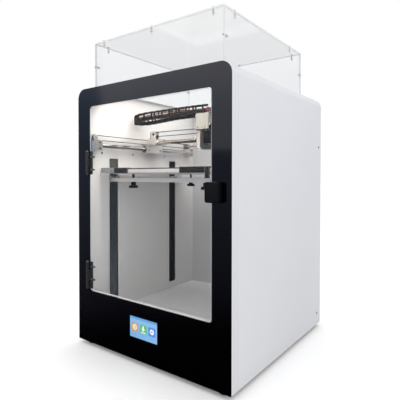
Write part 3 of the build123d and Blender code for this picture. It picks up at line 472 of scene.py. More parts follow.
# ================================ hood =====================================
HX, HY0, HY1, HZ, HT = 222.0, 30.0, 471.0, 856.0, 4.0
H = 720.0
TOP_X, TOP_Y, MID_Z = (-184.0, 0.0, 192.0), (78.0, 388.0), 788.0


def t_slot_top(c, top):
    """Outline points of a T-slot cut down from a top edge, going towards +."""
    return [(c - 1.7, top), (c - 1.7, top - 7), (c - 3.1, top - 7), (c - 3.1, top - 10), (c - 1.7, top - 10), (c - 1.7, top - 14),
            (c + 1.7, top - 14), (c + 1.7, top - 10), (c + 3.1, top - 10), (c + 3.1, top - 7), (c + 1.7, top - 7), (c + 1.7, top)]


q = Piece("hood_lid")
q.prism(rrect(-HX, HX, HY0, HY1, 0.8, 2), "Z", HZ - HT, HZ, clear_hood, 0.25, 1, side_mat=hood_edge_painted_glow)
q.done("hood", ["hood_top"])
q = Piece("hood_sides")
wz = HZ - HT
for y0 in (HY0, HY1 - HT):
    pts = [(-HX, H), (HX, H), (HX, wz)]
    for px in reversed(TOP_X):
        pts += [(a, b) for a, b in reversed(t_slot_top(px, wz))]
    pts.append((-HX, wz))
    q.prism(pts, "Y", y0, y0 + HT, clear_hood, 0.2, 1, side_mat=hood_edge_painted_glow)
for sx in (-1, 1):
    ya, yb = HY0 + HT + 0.02, HY1 - HT - 0.02
    pts = [(ya, H), (yb, H)]
    for d in ((yb, MID_Z - 1.7), (yb - 7, MID_Z - 1.7), (yb - 7, MID_Z - 3.1), (yb - 10, MID_Z - 3.1), (yb - 10, MID_Z - 1.7), (yb - 14, MID_Z - 1.7),
              (yb - 14, MID_Z + 1.7), (yb - 10, MID_Z + 1.7), (yb - 10, MID_Z + 3.1), (yb - 7, MID_Z + 3.1), (yb - 7, MID_Z + 1.7), (yb, MID_Z + 1.7)):
        pts.append(d)
    pts.append((yb, wz))
    for py in reversed(TOP_Y):
        pts += list(reversed(t_slot_top(py, wz)))
    pts.append((ya, wz))
    for d in ((ya, MID_Z + 1.7), (ya + 7, MID_Z + 1.7), (ya + 7, MID_Z + 3.1), (ya + 10, MID_Z + 3.1), (ya + 10, MID_Z + 1.7), (ya + 14, MID_Z + 1.7),
              (ya + 14, MID_Z - 1.7), (ya + 10, MID_Z - 1.7), (ya + 10, MID_Z - 3.1), (ya + 7, MID_Z - 3.1), (ya + 7, MID_Z - 1.7), (ya, MID_Z - 1.7)):
        pts.append(d)
    x0, x1 = sorted((sx * HX, sx * (HX - HT)))
    q.prism(pts, "X", x0, x1, clear_hood, 0.2, 1, side_mat=hood_edge_painted_glow)
q.done("hood", ["hood_walls"])

q = Piece("hood_fixings")


def hood_fixing(x, y, z, axis, sign, length=14):
    """Socket screw into a T-nut."""
    q.screw(x, y, z, axis, sign, 2.8, 1.8, hood_metal)
    c = {"X": (x - sign * length / 2, y, z), "Y": (x, y - sign * length / 2, z), "Z": (x, y, z - sign * length / 2)}[axis]
    r = 1.4
    prof = [(0, length / 2)]
    k = 16
    for i in range(k):
        a = length / 2 - i * length / k
        prof += [(r, a), (r * 0.82, a - length / k / 2)]
    prof += [(r * 0.7, -length / 2), (0, -length / 2)]
    q.lathe(*c, axis, prof, hood_metal, 12, closed=False)


for px in TOP_X:
    for py in (HY0 + 2, HY1 - 2):
        hood_fixing(px, py, HZ, "Z", 1)
        q.box(px - 2.7, px + 2.7, py - 1.9, py + 1.9, wz - 9.8, wz - 7.3, hood_metal, 0.3)
for sx in (-1, 1):
    for py in TOP_Y:
        hood_fixing(sx * (HX - 2), py, HZ, "Z", 1)
        q.box(sx * (HX - 2) - 1.9, sx * (HX - 2) + 1.9, py - 2.7, py + 2.7, wz - 9.8, wz - 7.3, hood_metal, 0.3)
    for y_out, inward in ((HY0, 1), (HY1, -1)):
        hood_fixing(sx * (HX - 2), y_out, MID_Z, "Y", -inward)
        ya, yb = sorted((y_out + inward * 11.3, y_out + inward * 13.8))
        q.box(sx * (HX - 2) - 1.9, sx * (HX - 2) + 1.9, ya, yb, MID_Z - 2.7, MID_Z + 2.7, hood_metal, 0.3)
q.done("hood", ["hood_screws"])

# ================================ door =====================================
q = Piece("door_sheet")
q.prism(rrect(-207.8, 207.8, 149.2, 665.8, 8, 6), "Y", 0, 3.9, clear_door, 0.3, 2, side_mat=door_edge_painted_glow)
q.done("door", ["door_pane"])

q = Piece("door_pull")
q.prism(rrect(202, 238, 414, 460, 6, 8), "Y", -18, -2.2, handle_black, 2.4, 5)
q.box(193, 207, -3.4, -0.02, 418, 456, handle_black, 0.5)
q.screw(198, -3.4, 428, "Y", -1, 2.4, 1.3, screw_black)
q.screw(198, -3.4, 446, "Y", -1, 2.4, 1.3, screw_black)
q.ring(rrect(205.5, 234.5, 417.5, 456.5, 4, 6), rrect(206.3, 233.7, 418.3, 455.7, 3.4, 6), "Y", -18.0, -17.6, handle_black, 0.1, 1)
q.done("door", ["door_handle"])

q = Piece("hinge_screws_door")
for sz in (526, 490, 217, 181):
    q.screw(-200.5, -2.2, sz, "Y", -1, 2.6, 1.4, screw_steel)
    q.lathe(-190, 0, sz, "Y", [(0, -1.9), (1.6, -1.9), (2.3, -1.5), (2.7, -0.7), (2.7, 0.0), (0, 0)], screw_black, 20, closed=False)
q.done("door")
q = Piece("hinge_screws_frame")
for z0, z1 in ((477.0, 542.0), (155.0, 231.0)):
    for t in (0.14, 0.5, 0.86):
        q.screw(-219.2, -2.0, z0 + t * (z1 - z0), "Y", -1, 2.4, 1.2, screw_steel)
    for zz, s in ((z1, 1), (z0, -1)):
        q.lathe(-212.5, -6.5, zz, "Z", [(0, s * 1.6), (2.0, s * 1.5), (3.0, s * 0.9), (3.3, 0), (0, 0)], screw_steel, 20, closed=False)
q.done("cabinet")

# ================================ screen ===================================
def lcd_material():
    m, nd, lk = _new("screen_picture")
    out = nd.new("ShaderNodeOutputMaterial")
    b = nd.new("ShaderNodeBsdfPrincipled")
    lk.new(b.outputs[0], out.inputs[0])
    tc = nd.new("ShaderNodeTexCoord")
    sep = nd.new("ShaderNodeSeparateXYZ")
    lk.new(tc.outputs["Object"], sep.inputs[0])
    z0, z1 = (ZB + 57) * S, (ZB + 111) * S
    v = _range(nd, lk, sep.outputs[2], z0, z1, 0, 1)
    u = _range(nd, lk, sep.outputs[0], -0.05, 0.05, 0, 1)
    low = _mix(nd, lk, u, (0.17, 0.48, 0.86), (0.20, 0.50, 0.90))
    col = _mix(nd, lk, v, low, (0.30, 0.58, 0.95))
    n = _noise(nd, lk, tc.outputs["Object"], 14, 3, 0.5)
    col = _mix(nd, lk, _range(nd, lk, n, 0.35, 0.7, 0, 0.35), col, (0.42, 0.68, 0.98))
    b.inputs["Base Color"].default_value = (0.02, 0.03, 0.04, 1)
    b.inputs["Roughness"].default_value = 0.12
    lk.new(col, b.inputs["Emission Color"])
    b.inputs["Emission Strength"].default_value = 0.85
    b.inputs["Coat Weight"].default_value = 0.4
    return m


lcd = lcd_material()
bar_blue = surface("screen_bar", (0.05, 0.12, 0.2), 0.12, glow=((0.10, 0.30, 0.62), 0.9))
tile_orange = surface("tile_orange", (0.3, 0.12, 0.02), 0.15, glow=((0.52, 0.27, 0.13), 0.8))
tile_green = surface("tile_green", (0.05, 0.2, 0.04), 0.15, glow=((0.12, 0.40, 0.20), 0.8))
tile_blue = surface("tile_blue", (0.03, 0.08, 0.25), 0.15, glow=((0.10, 0.24, 0.66), 0.8))
tile_white = surface("tile_symbol", (0.5, 0.5, 0.5), 0.15, glow=((0.62, 0.72, 0.86), 0.8))
q = Piece("screen_face")
q.ring(rrect(-51.7, 49.7, 55.8, 112.2, 1.7, 4), rrect(-48.5, 46.5, 57.2, 110.8, 0.6, 4), "Y", 0.8, 4.4, gloss_black, 0.15, 1)
q.prism(rrect(-48.4, 46.4, 57.3, 110.7, 0.5, 3), "Y", 1.0, 4.2, lcd, 0.1, 1)
q.prism(rrect(-48.3, 46.3, 104.6, 110.6, 0.5, 2), "Y", 0.97, 1.3, bar_blue)
for k, (tx, m) in enumerate(((-31, tile_orange), (-1, tile_green), (29, tile_blue))):
    q.prism(rrect(tx - 12, tx + 12, 72.5, 95, 3, 5), "Y", 0.93, 1.3, m)
    if k == 0:      # a spool
        q.ring(circle(tx, 84, 7.2, 24), circle(tx, 84, 4.9, 24), "Y", 0.88, 1.2, tile_white)
        q.prism(circle(tx, 84, 2.2, 16), "Y", 0.88, 1.2, tile_white)
    elif k == 1:    # an arrow pointing down to a bed
        q.prism([(tx - 2, 92), (tx - 2, 85), (tx - 6, 85), (tx, 78.5), (tx + 6, 85), (tx + 2, 85), (tx + 2, 92)], "Y", 0.88, 1.2, tile_white)
        q.prism([(tx - 8, 76.4), (tx - 8, 74.6), (tx + 8, 74.6), (tx + 8, 76.4)], "Y", 0.88, 1.2, tile_white)
    else:           # a gear
        pts = []
        for i in range(32):
            r = 7.6 if i % 4 in (0, 1) else 5.6
            pts.append((tx + r * math.cos(2 * math.pi * i / 32), 84 + r * math.sin(2 * math.pi * i / 32)))
        q.ring(pts, circle(tx, 84, 2.6, 32), "Y", 0.88, 1.2, tile_white)
    q.prism(rrect(tx - 7, tx + 7, 66.2, 67.4, 0.5, 3), "Y", 0.95, 1.2, bar_blue)
q.done("cabinet", ["screen_glass"])

# ============================ screws on the sheet ==========================
q = Piece("panel_fixings")
for sx in (-1, 1):
    for py in (46.0, 170.0, 320.0):
        q.screw(sx * 213, py, 540, "X", -sx, 3.0, 1.3, screw_steel)
    for py, pz in ((525, 564), (516, 36)):
        q.screw(sx * 260, py, pz, "X", sx, 3.2, 0.95, screw_steel)
q.done("cabinet", ["panel_screws"])
q = Piece("rear_fixings")
for px in (-244, -82, 82, 244):
    for pz in (10, 240, 470, 690):
        if not (pz == 10 and px == 244):
            q.screw(px, 545, pz, "Y", 1, 3.0, 1.5, screw_black)
for pz in (28, 96):
    q.screw(190, 547.6, pz, "Y", 1, 2.4, 0.9, screw_steel)
q.ring(circle(-150, 600, 7.4, 32), circle(-150, 600, 5.2, 32), "Y", 545, 546.2, black_satin, 0.3, 2)
q.done("cabinet")

# ================================= feet ====================================
q = Piece("feet_moulded")
for fx, fy in ((-228, 26), (228, 26), (-228, 515), (228, 515)):
    q.lathe(fx, fy, -12, "Z", [(0, 3.0), (3.4, 3.0), (3.4, 0.6), (3.9, 0), (11.6, 0), (12.4, 0.7), (12.7, 2.2), (12.9, 4.2), (12.5, 4.6), (12.5, 5.2), (13.0, 5.6),
                               (13.3, 8.5), (12.9, 8.9), (12.9, 9.5), (13.4, 9.9), (13.6, 12), (0, 12)], rubber, 40, closed=False)
    q.lathe(fx, fy, -12, "Z", [(0, 2.9), (3.2, 2.9), (3.2, 1.7), (1.4, 1.7), (1.0, 2.3), (0, 2.3)], screw_steel, 24, closed=False)
q.done("cabinet", ["feet"])

# ================================ motors ===================================
def stepper(q, x, y, z, axis, length, sign, boss=True):
    """Square stepper whose shaft end faces sign along the axis; (x, y, z) is the middle of the shaft face."""
    def span(a, b):
        lo, hi = sorted((-sign * a, -sign * b))
        return lo, hi
    def block(a, b, half, m, cut, bev):
        lo, hi = span(a, b)
        if axis == "Z":
            u, v, w = x, y, z
        elif axis == "X":
            u, v, w = y, z, x
        else:
            u, v, w = x, z, y
        h, c = half, cut
        pts = [(u - h + c, v - h), (u + h - c, v - h), (u + h, v - h + c), (u + h, v + h - c), (u + h - c, v + h), (u - h + c, v + h), (u - h, v + h - c), (u - h, v - h + c)]
        q.prism(pts, axis, w + lo, w + hi, m, bev)
    block(0, 9, 21, alu, 4, 0.5)
    k = int((length - 18) / 1.6)
    t = (length - 18) / k
    for i in range(k):
        block(9 + i * t, 9 + (i + 0.72) * t, 20.7, black_iron, 4.6, 0)
        block(9 + (i + 0.72) * t, 9 + (i + 1) * t, 20.3, black_satin, 4.6, 0)
    block(length - 9, length, 21, alu, 4, 0.5)
    for a in (-15.5, 15.5):
        for b in (-15.5, 15.5):
            c = {"Z": (x + a, y + b, z - sign * length), "X": (x - sign * length, y + a, z + b), "Y": (x + a, y - sign * length, z + b)}[axis]
            q.screw(*c, axis, -sign, 2.6, 0.9, screw_steel)


q = Piece("z_and_y_motors")
for sx in (-1, 1):
    stepper(q, sx * 236.7, 398.5, 43, "Z", 40.8, 1)
    q.cyl(sx * 236.7, 398.5, 44, 11, 2, "Z", alu, 40, 0.4)
    q.cyl(sx * 236.7, 398.5, 52, 2.4, 14, "Z", steel, 20, 0.3)
    q.box(sx * 236.7 - 10, sx * 236.7 + 10, 377.0 - 5, 377.4, 6, 14, wire_white, 0.5)
stepper(q, 216.2, 438, 581.5, "X", 39.8, -1)
q.done("cabinet", ["frame_motors"])
q = Piece("x_motor_body")
stepper(q, 170, 270.02, 606.3, "Y", 37, -1)
q.box(160, 180, 285, 298, 585.4 - 5.5, 585.2, wire_white, 0.5)
q.done("gantry", ["x_motor"])

# ============================== lead screws ================================
for sx, name in ((-1, "left"), (1, "right")):
    q = Piece("lead_screw_thread_" + name)
    n, step, z0, z1 = 16, 0.5, 74.0, 554.0
    rows = int((z1 - z0) / step)
    def thread(i, j, sx=sx):
        a = 2 * math.pi * i / n
        z = z0 + j * step
        ph = (z / 2.0 - a * 4 / (2 * math.pi)) % 1.0
        r = 5.0 - 0.9 * max(0.0, min(1.0, 2.4 * abs(ph - 0.5) - 0.25))
        return P(sx * 236.7 + r * math.cos(a), 398.5 + r * math.sin(a), z)
    q.quads(thread, n, rows, steel, wrap_u=True)
    q.lathe(sx * 236.7, 398.5, 61.5, "Z", [(2.45, -12.4), (9.4, -12.4), (10, -11.8), (10, -1.4), (9.2, -1.0), (9.2, -0.4), (10, 0), (9.2, 0.4), (9.2, 1.0), (10, 1.4), (10, 11.8), (9.4, 12.4), (2.45, 12.4)], alu, 40)
    for zz in (55, 68):
        q.screw(sx * 236.7, 398.5 - 9.9, zz, "Y", -1, 1.9, 0.5, screw_black)
    q.done("screw_" + name, ["lead_screw_" + name])

# ================================ belts ====================================
def toothed(q, axis, u0, u1, v, wa, wb, r_out=7.5, r_in=6.1):
    """A toothed belt round two pulleys at u0 and u1; the outline has a tooth every 2 mm on its inner side."""
    step = 0.5
    straight = u1 - u0
    loop = 2 * straight + 2 * math.pi * r_in
    n = int(round(loop / 2.0)) * 4
    outer, inner = [], []
    for i in range(n):
        s = loop * i / n
        tooth = i % 4 in (0, 1)
        ri = r_in if tooth else r_in + 0.7
        if s < straight:
            c, d = (u0 + s, v), (0, 1)
        elif s < straight + math.pi * r_in:
            a = math.pi / 2 - (s - straight) / r_in
            c, d = (u1, v), (math.cos(a), math.sin(a))
        elif s < 2 * straight + math.pi * r_in:
            c, d = (u1 - (s - straight - math.pi * r_in), v), (0, -1)
        else:
            a = -math.pi / 2 - (s - 2 * straight - math.pi * r_in) / r_in
            c, d = (u0, v), (math.cos(a), math.sin(a))
        outer.append((c[0] + d[0] * r_out, c[1] + d[1] * r_out))
        inner.append((c[0] + d[0] * ri, c[1] + d[1] * ri))
    q.ring(outer, inner, axis, wa, wb, belt_rubber)


q = Piece("y_belts_toothed")
for sx in (-1, 1):
    toothed(q, "X", 12.0, 438.0, 581.5, sx * 202 - 3, sx * 202 + 3)
q.done("cabinet", ["y_belts"])
q = Piece("x_belt_toothed")
toothed(q, "Y", -170.0, 170.0, 606.3, 224, 230)
q.done("gantry", ["x_belt"])

# ================================= bed =====================================
q = Piece("bed_clamps")
q.box(-206, -150.4, 36.5, 39.9, 480, 495.6, clamp_grey, 0.5, 3)
q.box(-206, -150.4, 36.5, 52, 494.05, 495.6, clamp_grey, 0.4, 2)
for xa, xb in ((-150.0, -97.0), (87.0, 164.6)):
    q.box(xa, xb, 36.5, 39.9, 480, 495.6, black_iron, 0.5, 3)
    q.box(xa, xb, 36.5, 52, 494.05, 495.6, black_iron, 0.4, 2)
q.box(165.0, 177.0, 36.5, 39.9, 467.5, 495.6, black_iron, 0.5, 3)
q.box(165.0, 177.0, 36.5, 52, 494.05, 495.6, black_iron, 0.4, 2)
for xa, xb in ((-180.0, -110.0), (110.0, 180.0)):
    q.box(xa, xb, 409.1, 412.5, 481, 495.6, black_iron, 0.5, 3)
    q.box(xa, xb, 397, 412.5, 494.05, 495.6, black_iron, 0.4, 2)
for px in (-196, -160, -140, -107, 96, 125, 154, 171):
    q.screw(px, 36.5, 486.5, "Y", -1, 2.5, 1.6, screw_black if px > -150 else screw_steel)
for px in (-168, -122, 122, 168):
    q.screw(px, 412.5, 487, "Y", 1, 2.5, 1.6, screw_black)
q.done("bed", ["bed_clips"])

q = Piece("bed_bolts_and_springs")
for px, py in ((-129, 91.5), (129, 91.5), (-129, 362.5), (129, 362.5)):
    prof = [(0, 482 - 462)]
    z = 482.0
    while z > 443:
        prof += [(2.0, z - 462), (1.72, z - 0.35 - 462)]
        z -= 0.7
    prof += [(1.4, 442 - 462), (0, 442 - 462)]
    q.lathe(px, py, 462, "Z", prof, screw_black, 16, closed=False)
    pts = []
    turns = 6.5
    n = int(turns * 18)
    for i in range(n + 1):
        a = 2 * math.pi * turns * i / n
        f = i / n
        zz = 467.9 + 13.2 * max(0.0, min(1.0, (f - 0.06) / 0.88))
        pts.append(P(px + 3.65 * math.cos(a), py + 3.65 * math.sin(a), zz))
    q.tube(pts, 0.8, screw_black, 7)
    q.lathe(px, py, 467.02, "Z", [(2.1, 0), (4.3, 0), (4.3, 0.5), (2.1, 0.5)], screw_steel, 24)
    q.lathe(px, py, 481.98, "Z", [(2.1, 0), (4.3, 0), (4.3, -0.5), (2.1, -0.5)], screw_steel, 24)
q.done("bed", ["bed_posts"])

# Insulation under the plate and its heater lead.
q = Piece("bed_insulation")
q.ring(rrect(-190, 190, 70, 392, 4, 3), rrect(-150, 150, 110, 344, 4, 3), "Z", 478.5, 481.95, cork, 0.4, 1)
q.box(-40, 60, 380, 399, 476.0, 478.5, wire_red, 0.6)


def smooth_path(pts, per=8):
    """Catmull-Rom through the points."""
    out = []
    m = len(pts)
    for i in range(m - 1):
        p0, p1, p2, p3 = pts[max(i - 1, 0)], pts[i], pts[i + 1], pts[min(i + 2, m - 1)]
        for k in range(per):
            t = k / per
            out.append(0.5 * ((2 * p1) + (p2 - p0) * t + (2 * p0 - 5 * p1 + 4 * p2 - p3) * t * t + (3 * p1 - p0 - 3 * p2 + p3) * t ** 3))
    out.append(pts[-1])
    return out


q.done("bed")

for sx, py, body in ((-1, 91.5, "fl"), (1, 91.5, "fr"), (-1, 362.5, "rl"), (1, 362.5, "rr")):
    long_name = {"fl": "front_left", "fr": "front_right", "rl": "rear_left", "rr": "rear_right"}[body]
    q = Piece("knob_fluted_" + long_name)
    x = sx * 129.0
    n = 96
    def outline(r, depth, n=n):
        return [((r - depth * max(0.0, math.cos(12 * 2 * math.pi * i / n)) ** 3) * math.cos(2 * math.pi * i / n) + x,
                 (r - depth * max(0.0, math.cos(12 * 2 * math.pi * i / n)) ** 3) * math.sin(2 * math.pi * i / n) + py) for i in range(n)]
    hole = circle(x, py, 2.06, n)
    levels = ((12.0, 0.5, 438.0), (12.6, 0.9, 438.25), (12.95, 1.3, 439.0), (13.0, 1.3, 444.2), (12.6, 1.1, 445.1), (12.0, 0.5, 445.6), (8.4, 0, 445.6), (7.5, 0, 446.2), (7.2, 0, 447), (7.1, 0, 455.0), (6.7, 0, 455.8))
    bm = bmesh.new()
    rows = [[bm.verts.new(P(u, v, z)) for u, v in outline(r, d)] for r, d, z in levels]
    inner = [[bm.verts.new(P(u, v, z)) for u, v in hole] for z in (438.0, 455.8)]
    for a, b in zip(rows, rows[1:]):
        for i in range(n):
            j = (i + 1) % n
            bm.faces.new((a[i], a[j], b[j], b[i]))
    for a, b in ((rows[0], inner[0]), (inner[1], rows[-1]), (inner[0], inner[1])):
        for i in range(n):
            j = (i + 1) % n
            bm.faces.new((a[j], a[i], b[i], b[j]))
    q._add(bm, handle_black)
    q.ring(circle(x, py, 3.9, 6), circle(x, py, 2.07, 6), "Z", 455.8, 456.0, brass, 0, 1)
    q.done("knob_" + body, ["knob_" + long_name])

q = Piece("bed_fixings")
for sx in (-1, 1):
    for py in (91.5, 362.5):
        for dy in (-8, 8):
            q.screw(sx * 208.6 - sx * 8, py + dy, 467, "Z", 1, 3.0, 1.8, screw_black)
            q.screw(sx * 208.0 - sx * 0, py + dy, 461.5, "X", -sx, 1.2, 0.0101, screw_black)
        for zz in (460, 468):
            q.screw(sx * 236, py - 15.2, zz, "X", sx, 1.0, 0.6, screw_black)
for sx in (-1, 1):
    for py in (117, 337):
        q.screw(sx * 129, py, 467, "Z", 1, 2.6, 1.5, screw_steel)
q.done("bed")

# ================================ gantry ===================================
q = Piece("rod_seals")
for sx in (-1, 1):
    for y0, s in ((205, -1), (277, 1)):
        q.lathe(sx * 196, y0, 559, "Y", [(6.35, s * 0.02), (10.6, s * 0.02), (10.9, s * 0.5), (10.6, s * 1.7), (9.4, s * 2.0), (7.2, s * 1.6), (6.35, s * 0.9)], seal_black_and_slot_shade, 40)
        q.lathe(sx * 196, y0, 559, "Y", [(8.0, s * 1.9), (8.6, s * 2.25), (9.2, s * 1.9)], alu_light, 40)
q.done("gantry")
q = Piece("carriage_fixings")
for sx in (-1, 1):
    for yy in (222.5, 247.5, 265.5):
        q.screw(sx * 187.6, yy, 592, "Z", 1, 2.6, 1.8, screw_black)
    for yy in (222.5, 265.5):
        q.screw(sx * 166, yy, 592, "Z", 1, 2.6, 1.8, screw_black)
    for yy in (211, 271):
        q.screw(sx * 202.5, yy, 573.5, "Z", 1, 2.4, 1.5, screw_steel)
    q.screw(sx * 184, 213, 556, "X", -sx, 2.6, 1.6, screw_steel)
    q.screw(sx * 184, 269, 556, "X", -sx, 2.6, 1.6, screw_steel)
    for yy in (240, 256):
        q.screw(sx * 202.2, yy, 594, "Z", 1, 1.9, 1.2, screw_black)
    for yy in (232, 262):
        q.screw(sx * 160, yy + 7.4, 577, "X", -sx, 1.5, 0.9, screw_steel)
q.lathe(-170, 219.2, 606.3, "Y", [(0, -2.4), (3.4, -2.2), (4.2, -1.4), (4.3, 0), (0, 0)], screw_black, 6, closed=False)
for a in (-15.5, 15.5):
    for b in (-15.5, 15.5):
        q.screw(170 + a, 267, 606.3 + b, "Y", -1, 2.4, 0.4 if a < 0 and b < 0 else 1.6, screw_steel)   # the low inner one sits flush, clear of the head
# belt tensioner block on the left clevis
q.box(-186.5, -182.05, 221.5, 232.5, 594, 613, black_iron, 0.7, 2)
q.screw(-186.5, 227, 603.5, "X", -1, 3.2, 2.4, screw_black)
q.done("gantry")

q = Piece("rod_block_fixings")
for sx in (-1, 1):
    for y0, y1 in ((5, 26), (426, 450)):
        ym = (y0 + y1) / 2
        q.screw(sx * 190, ym, 573, "Z", 1, 2.4, 1.5, screw_black)
        q.screw(sx * 184, ym, 550.5, "X", -sx, 2.6, 1.5, screw_black)
        q.screw(sx * 184, ym, 567.5, "X", -sx, 2.6, 1.5, screw_black)
    q.ring(circle(sx * 196, 559, 8.6, 32), circle(sx * 196, 559, 6.05, 32), "Y", 26, 26.8, steel, 0.15, 1)
q.done("cabinet")

# ============================== cable chain ================================
node = N["cable_chain"]
bm = bmesh.new()
bm.from_mesh(node.data)
bmesh.ops.remove_doubles(bm, verts=bm.verts, dist=2e-5)
bm.verts.ensure_lookup_table()
seen, centres = set(), []
for v in bm.verts:
    if v.index in seen:
        continue
    stack, group = [v], []
    seen.add(v.index)
    while stack:
        a = stack.pop()
        group.append(a.co.copy())
        for e in a.link_edges:
            b = e.other_vert(a)
            if b.index not in seen:
                seen.add(b.index)
                stack.append(b)
    lo = Vector([min(p[i] for p in group) for i in range(3)])
    hi = Vector([max(p[i] for p in group) for i in range(3)])
    if len(group) > 8:
        centres.append((lo + hi) / 2)
bm.free()
# order them from the head's end along the chain
first = min(centres, key=lambda c: (c - P(52, 198, 663)).length)
order = [first]
rest = [c for c in centres if c is not first]
while rest:
    nxt = min(rest, key=lambda c: (c - order[-1]).length)
    order.append(nxt)
    rest = [c for c in rest if c is not nxt]
LINKS = len(order)
line = smooth_path(order, 16)             # 16 steps from link to link
PER = 16
lead_in = order[0] + (order[0] - order[1]) * 0.55
lead_out = order[-1] + (order[-1] - order[-2]) * 0.45


def on_line(t):
    """Point and direction at t links along the chain."""
    k = max(0.0, min(LINKS - 1.0, t)) * PER
    i = int(min(k, len(line) - 2))
    f = k - i
    p = line[i].lerp(line[i + 1], f)
    d = (line[i + 1] - line[i]).normalized()
    if t < 0:
        p = p + (order[0] - order[1]).normalized() * (-t) * 0.0195
    if t > LINKS - 1:
        p = p + d * (t - LINKS + 1) * 0.0195
    return p, d


apex_t = min(range(len(line)), key=lambda i: line[i].x) / PER
HEAD_X = order[0].x


def share(t):
    """How far a place on the chain follows the head: 1 at the head, almost nothing at the bend."""
    if t <= 0.3:
        return 1.0
    if t < apex_t - 1.5:
        return max(0.05, 1 - 0.95 * (t - 0.3) / (apex_t - 1.8))
    if t < apex_t + 2.5:
        return 0.05 * (apex_t + 2.5 - t) / 4.0
    return 0.0


def inv_step(w):
    w = min(1.0, max(0.0, w))
    return 0.5 - math.sin(math.asin(1 - 2 * w) / 3)


WIRES = ((-3.4, -7.2, 2.3, wire_black), (0.6, -7.6, 2.0, wire_black), (3.8, -7.0, 2.1, wire_black), (-2.6, -3.6, 1.7, wire_brown), (1.2, -4.2, 1.6, wire_red), (3.9, -3.4, 1.7, wire_brown),
         (-2.8, -2.4, 1.5, wire_red), (1.0, -2.6, 1.5, wire_white), (3.6, -1.8, 1.3, wire_red), (-0.6, -1.0, 1.2, wire_red))


BAR = 15.0 / 19.5


def build_link(q, t):
    c, d = on_line(t)
    d = Vector((d.x, d.y, d.z * 0.6)).normalized()
    n = Vector((-d.y, d.x, 0)).normalized()
    up = d.cross(n)
    if up.z < 0:
        up = -up

    def W(a, b, h):
        return c + d * (a * S) + n * (b * S) + up * (h * S)

    def plate(pts, h0, h1, m, bev=0.3):
        bm = bmesh.new()
        lo = [bm.verts.new(W(a, b, h0)) for a, b in pts]
        hi = [bm.verts.new(W(a, b, h1)) for a, b in pts]
        bm.faces.new(lo[::-1])
        bm.faces.new(hi)
        for i in range(len(pts)):
            j = (i + 1) % len(pts)
            bm.faces.new((lo[i], lo[j], hi[j], hi[i]))
        q._add(bm, m, bev, 1)

    def slab(a0, a1, b0, b1, h0, h1, m, bev=0.35):
        plate([(a0, b0), (a1, b0), (a1, b1), (a0, b1)], h0, h1, m, bev)

    r = 6.4
    front_lug = arc_pts(9.75 - 2.0, 0, r, -90, 90, 8) + [(-2.5, r), (-2.5, -r)]
    rear_lug = [(2.5, -r), (2.5, r)] + arc_pts(-9.75 + 2.0, 0, r, 90, 270, 8)
    for s in (-1, 1):
        z_out, z_in = s * 12.0, s * 10.3
        plate(front_lug, *sorted((z_in, z_in - s * 1.7)), chain_black)
        plate(rear_lug, *sorted((z_out, z_in)), chain_black)
        plate([(9.75 + 1.9 * math.cos(a * math.pi / 8), 1.9 * math.sin(a * math.pi / 8)) for a in range(16)], *sorted((s * 12.0, s * 10.0)), chain_black, 0.2)
    for s in (-1, 1):
        if s > 0:                            # bars on the outer side, 15 mm apart
            k = math.ceil((t - 0.5) / BAR)
            while k * BAR < t + 0.5:
                a = (t - k * BAR) * 19.5
                slab(max(-9.6, a - 2.7), min(9.6, a + 2.7), 5.3, 7.1, -10.4, 10.4, chain_black, 0.4)
                k += 1
        slab(-9.4, 9.4, s * 6.2 - 1.1, s * 6.2 + 1.1, 7.8, 10.3, chain_black, 0.4)
        slab(-9.3, 9.3, s * 6.4 - 0.9, s * 6.4 + 0.9, -10.4, -2.2, chain_black, 0.4)


def wires(q, t0, t1, steps):
    for w, (b, h, r, m) in enumerate(WIRES):
        pts = []
        for i in range(steps + 1):
            t = t0 + (t1 - t0) * i / steps
            c, d = on_line(t)
            n = Vector((-d.y, d.x, 0)).normalized()
            wob = 0.7 * math.sin(t * 0.9 + b * 1.7 + h)
            rise = 5.8 * math.sin(math.pi * min(1.0, max(0.0, t / apex_t))) ** 2 if w > 5 else 0.0
            pts.append(c + n * ((b + wob * 0.6) * S) + Vector((0, 0, (h + wob * 0.5 + rise) * S)))
        q.tube(pts, r, m, 8, caps=t0 < 0)


split = int(math.ceil(apex_t + 2.5))
for i in range(split):
    q = Piece(f"chain_link_{i:02d}")
    build_link(q, i)
    wires(q, i - 0.5 if i else -0.5, i + 0.5, 4)
    o = q.done(None)
    a, b = share(i - 0.5), share(i + 0.5)
    xa, xb = on_line(i - 0.5)[0].x, on_line(i + 0.5)[0].x
    if abs(xa - xb) > 0.006 and a - b > 0.002 and a < 1.0 - 1e-6 or (i and a > b + 0.002 and abs(xa - xb) > 0.006):
        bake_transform(o)
    else:
        w = share(i)
        if w >= 1:
            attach(o, "head")
        else:
            t = inv_step(w)
            z = on_line(i)[0].z
            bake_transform(o)
    if i == 0:
        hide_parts("cable_chain")
q = Piece("chain_back_run")
for i in range(split, LINKS):
    build_link(q, i)
wires(q, split - 0.5, LINKS - 0.6, (LINKS - split) * 4)
q.done("gantry")

# Fixed end's bracket on the post, with its screws.
q = Piece("chain_post_bracket")
q.box(176, 194, 246, 268, 650.5, 652.0, black_iron, 0.4)
q.screw(181, 257, 652.0, "Z", 1, 2.4, 1.4, screw_steel)
q.done("gantry")

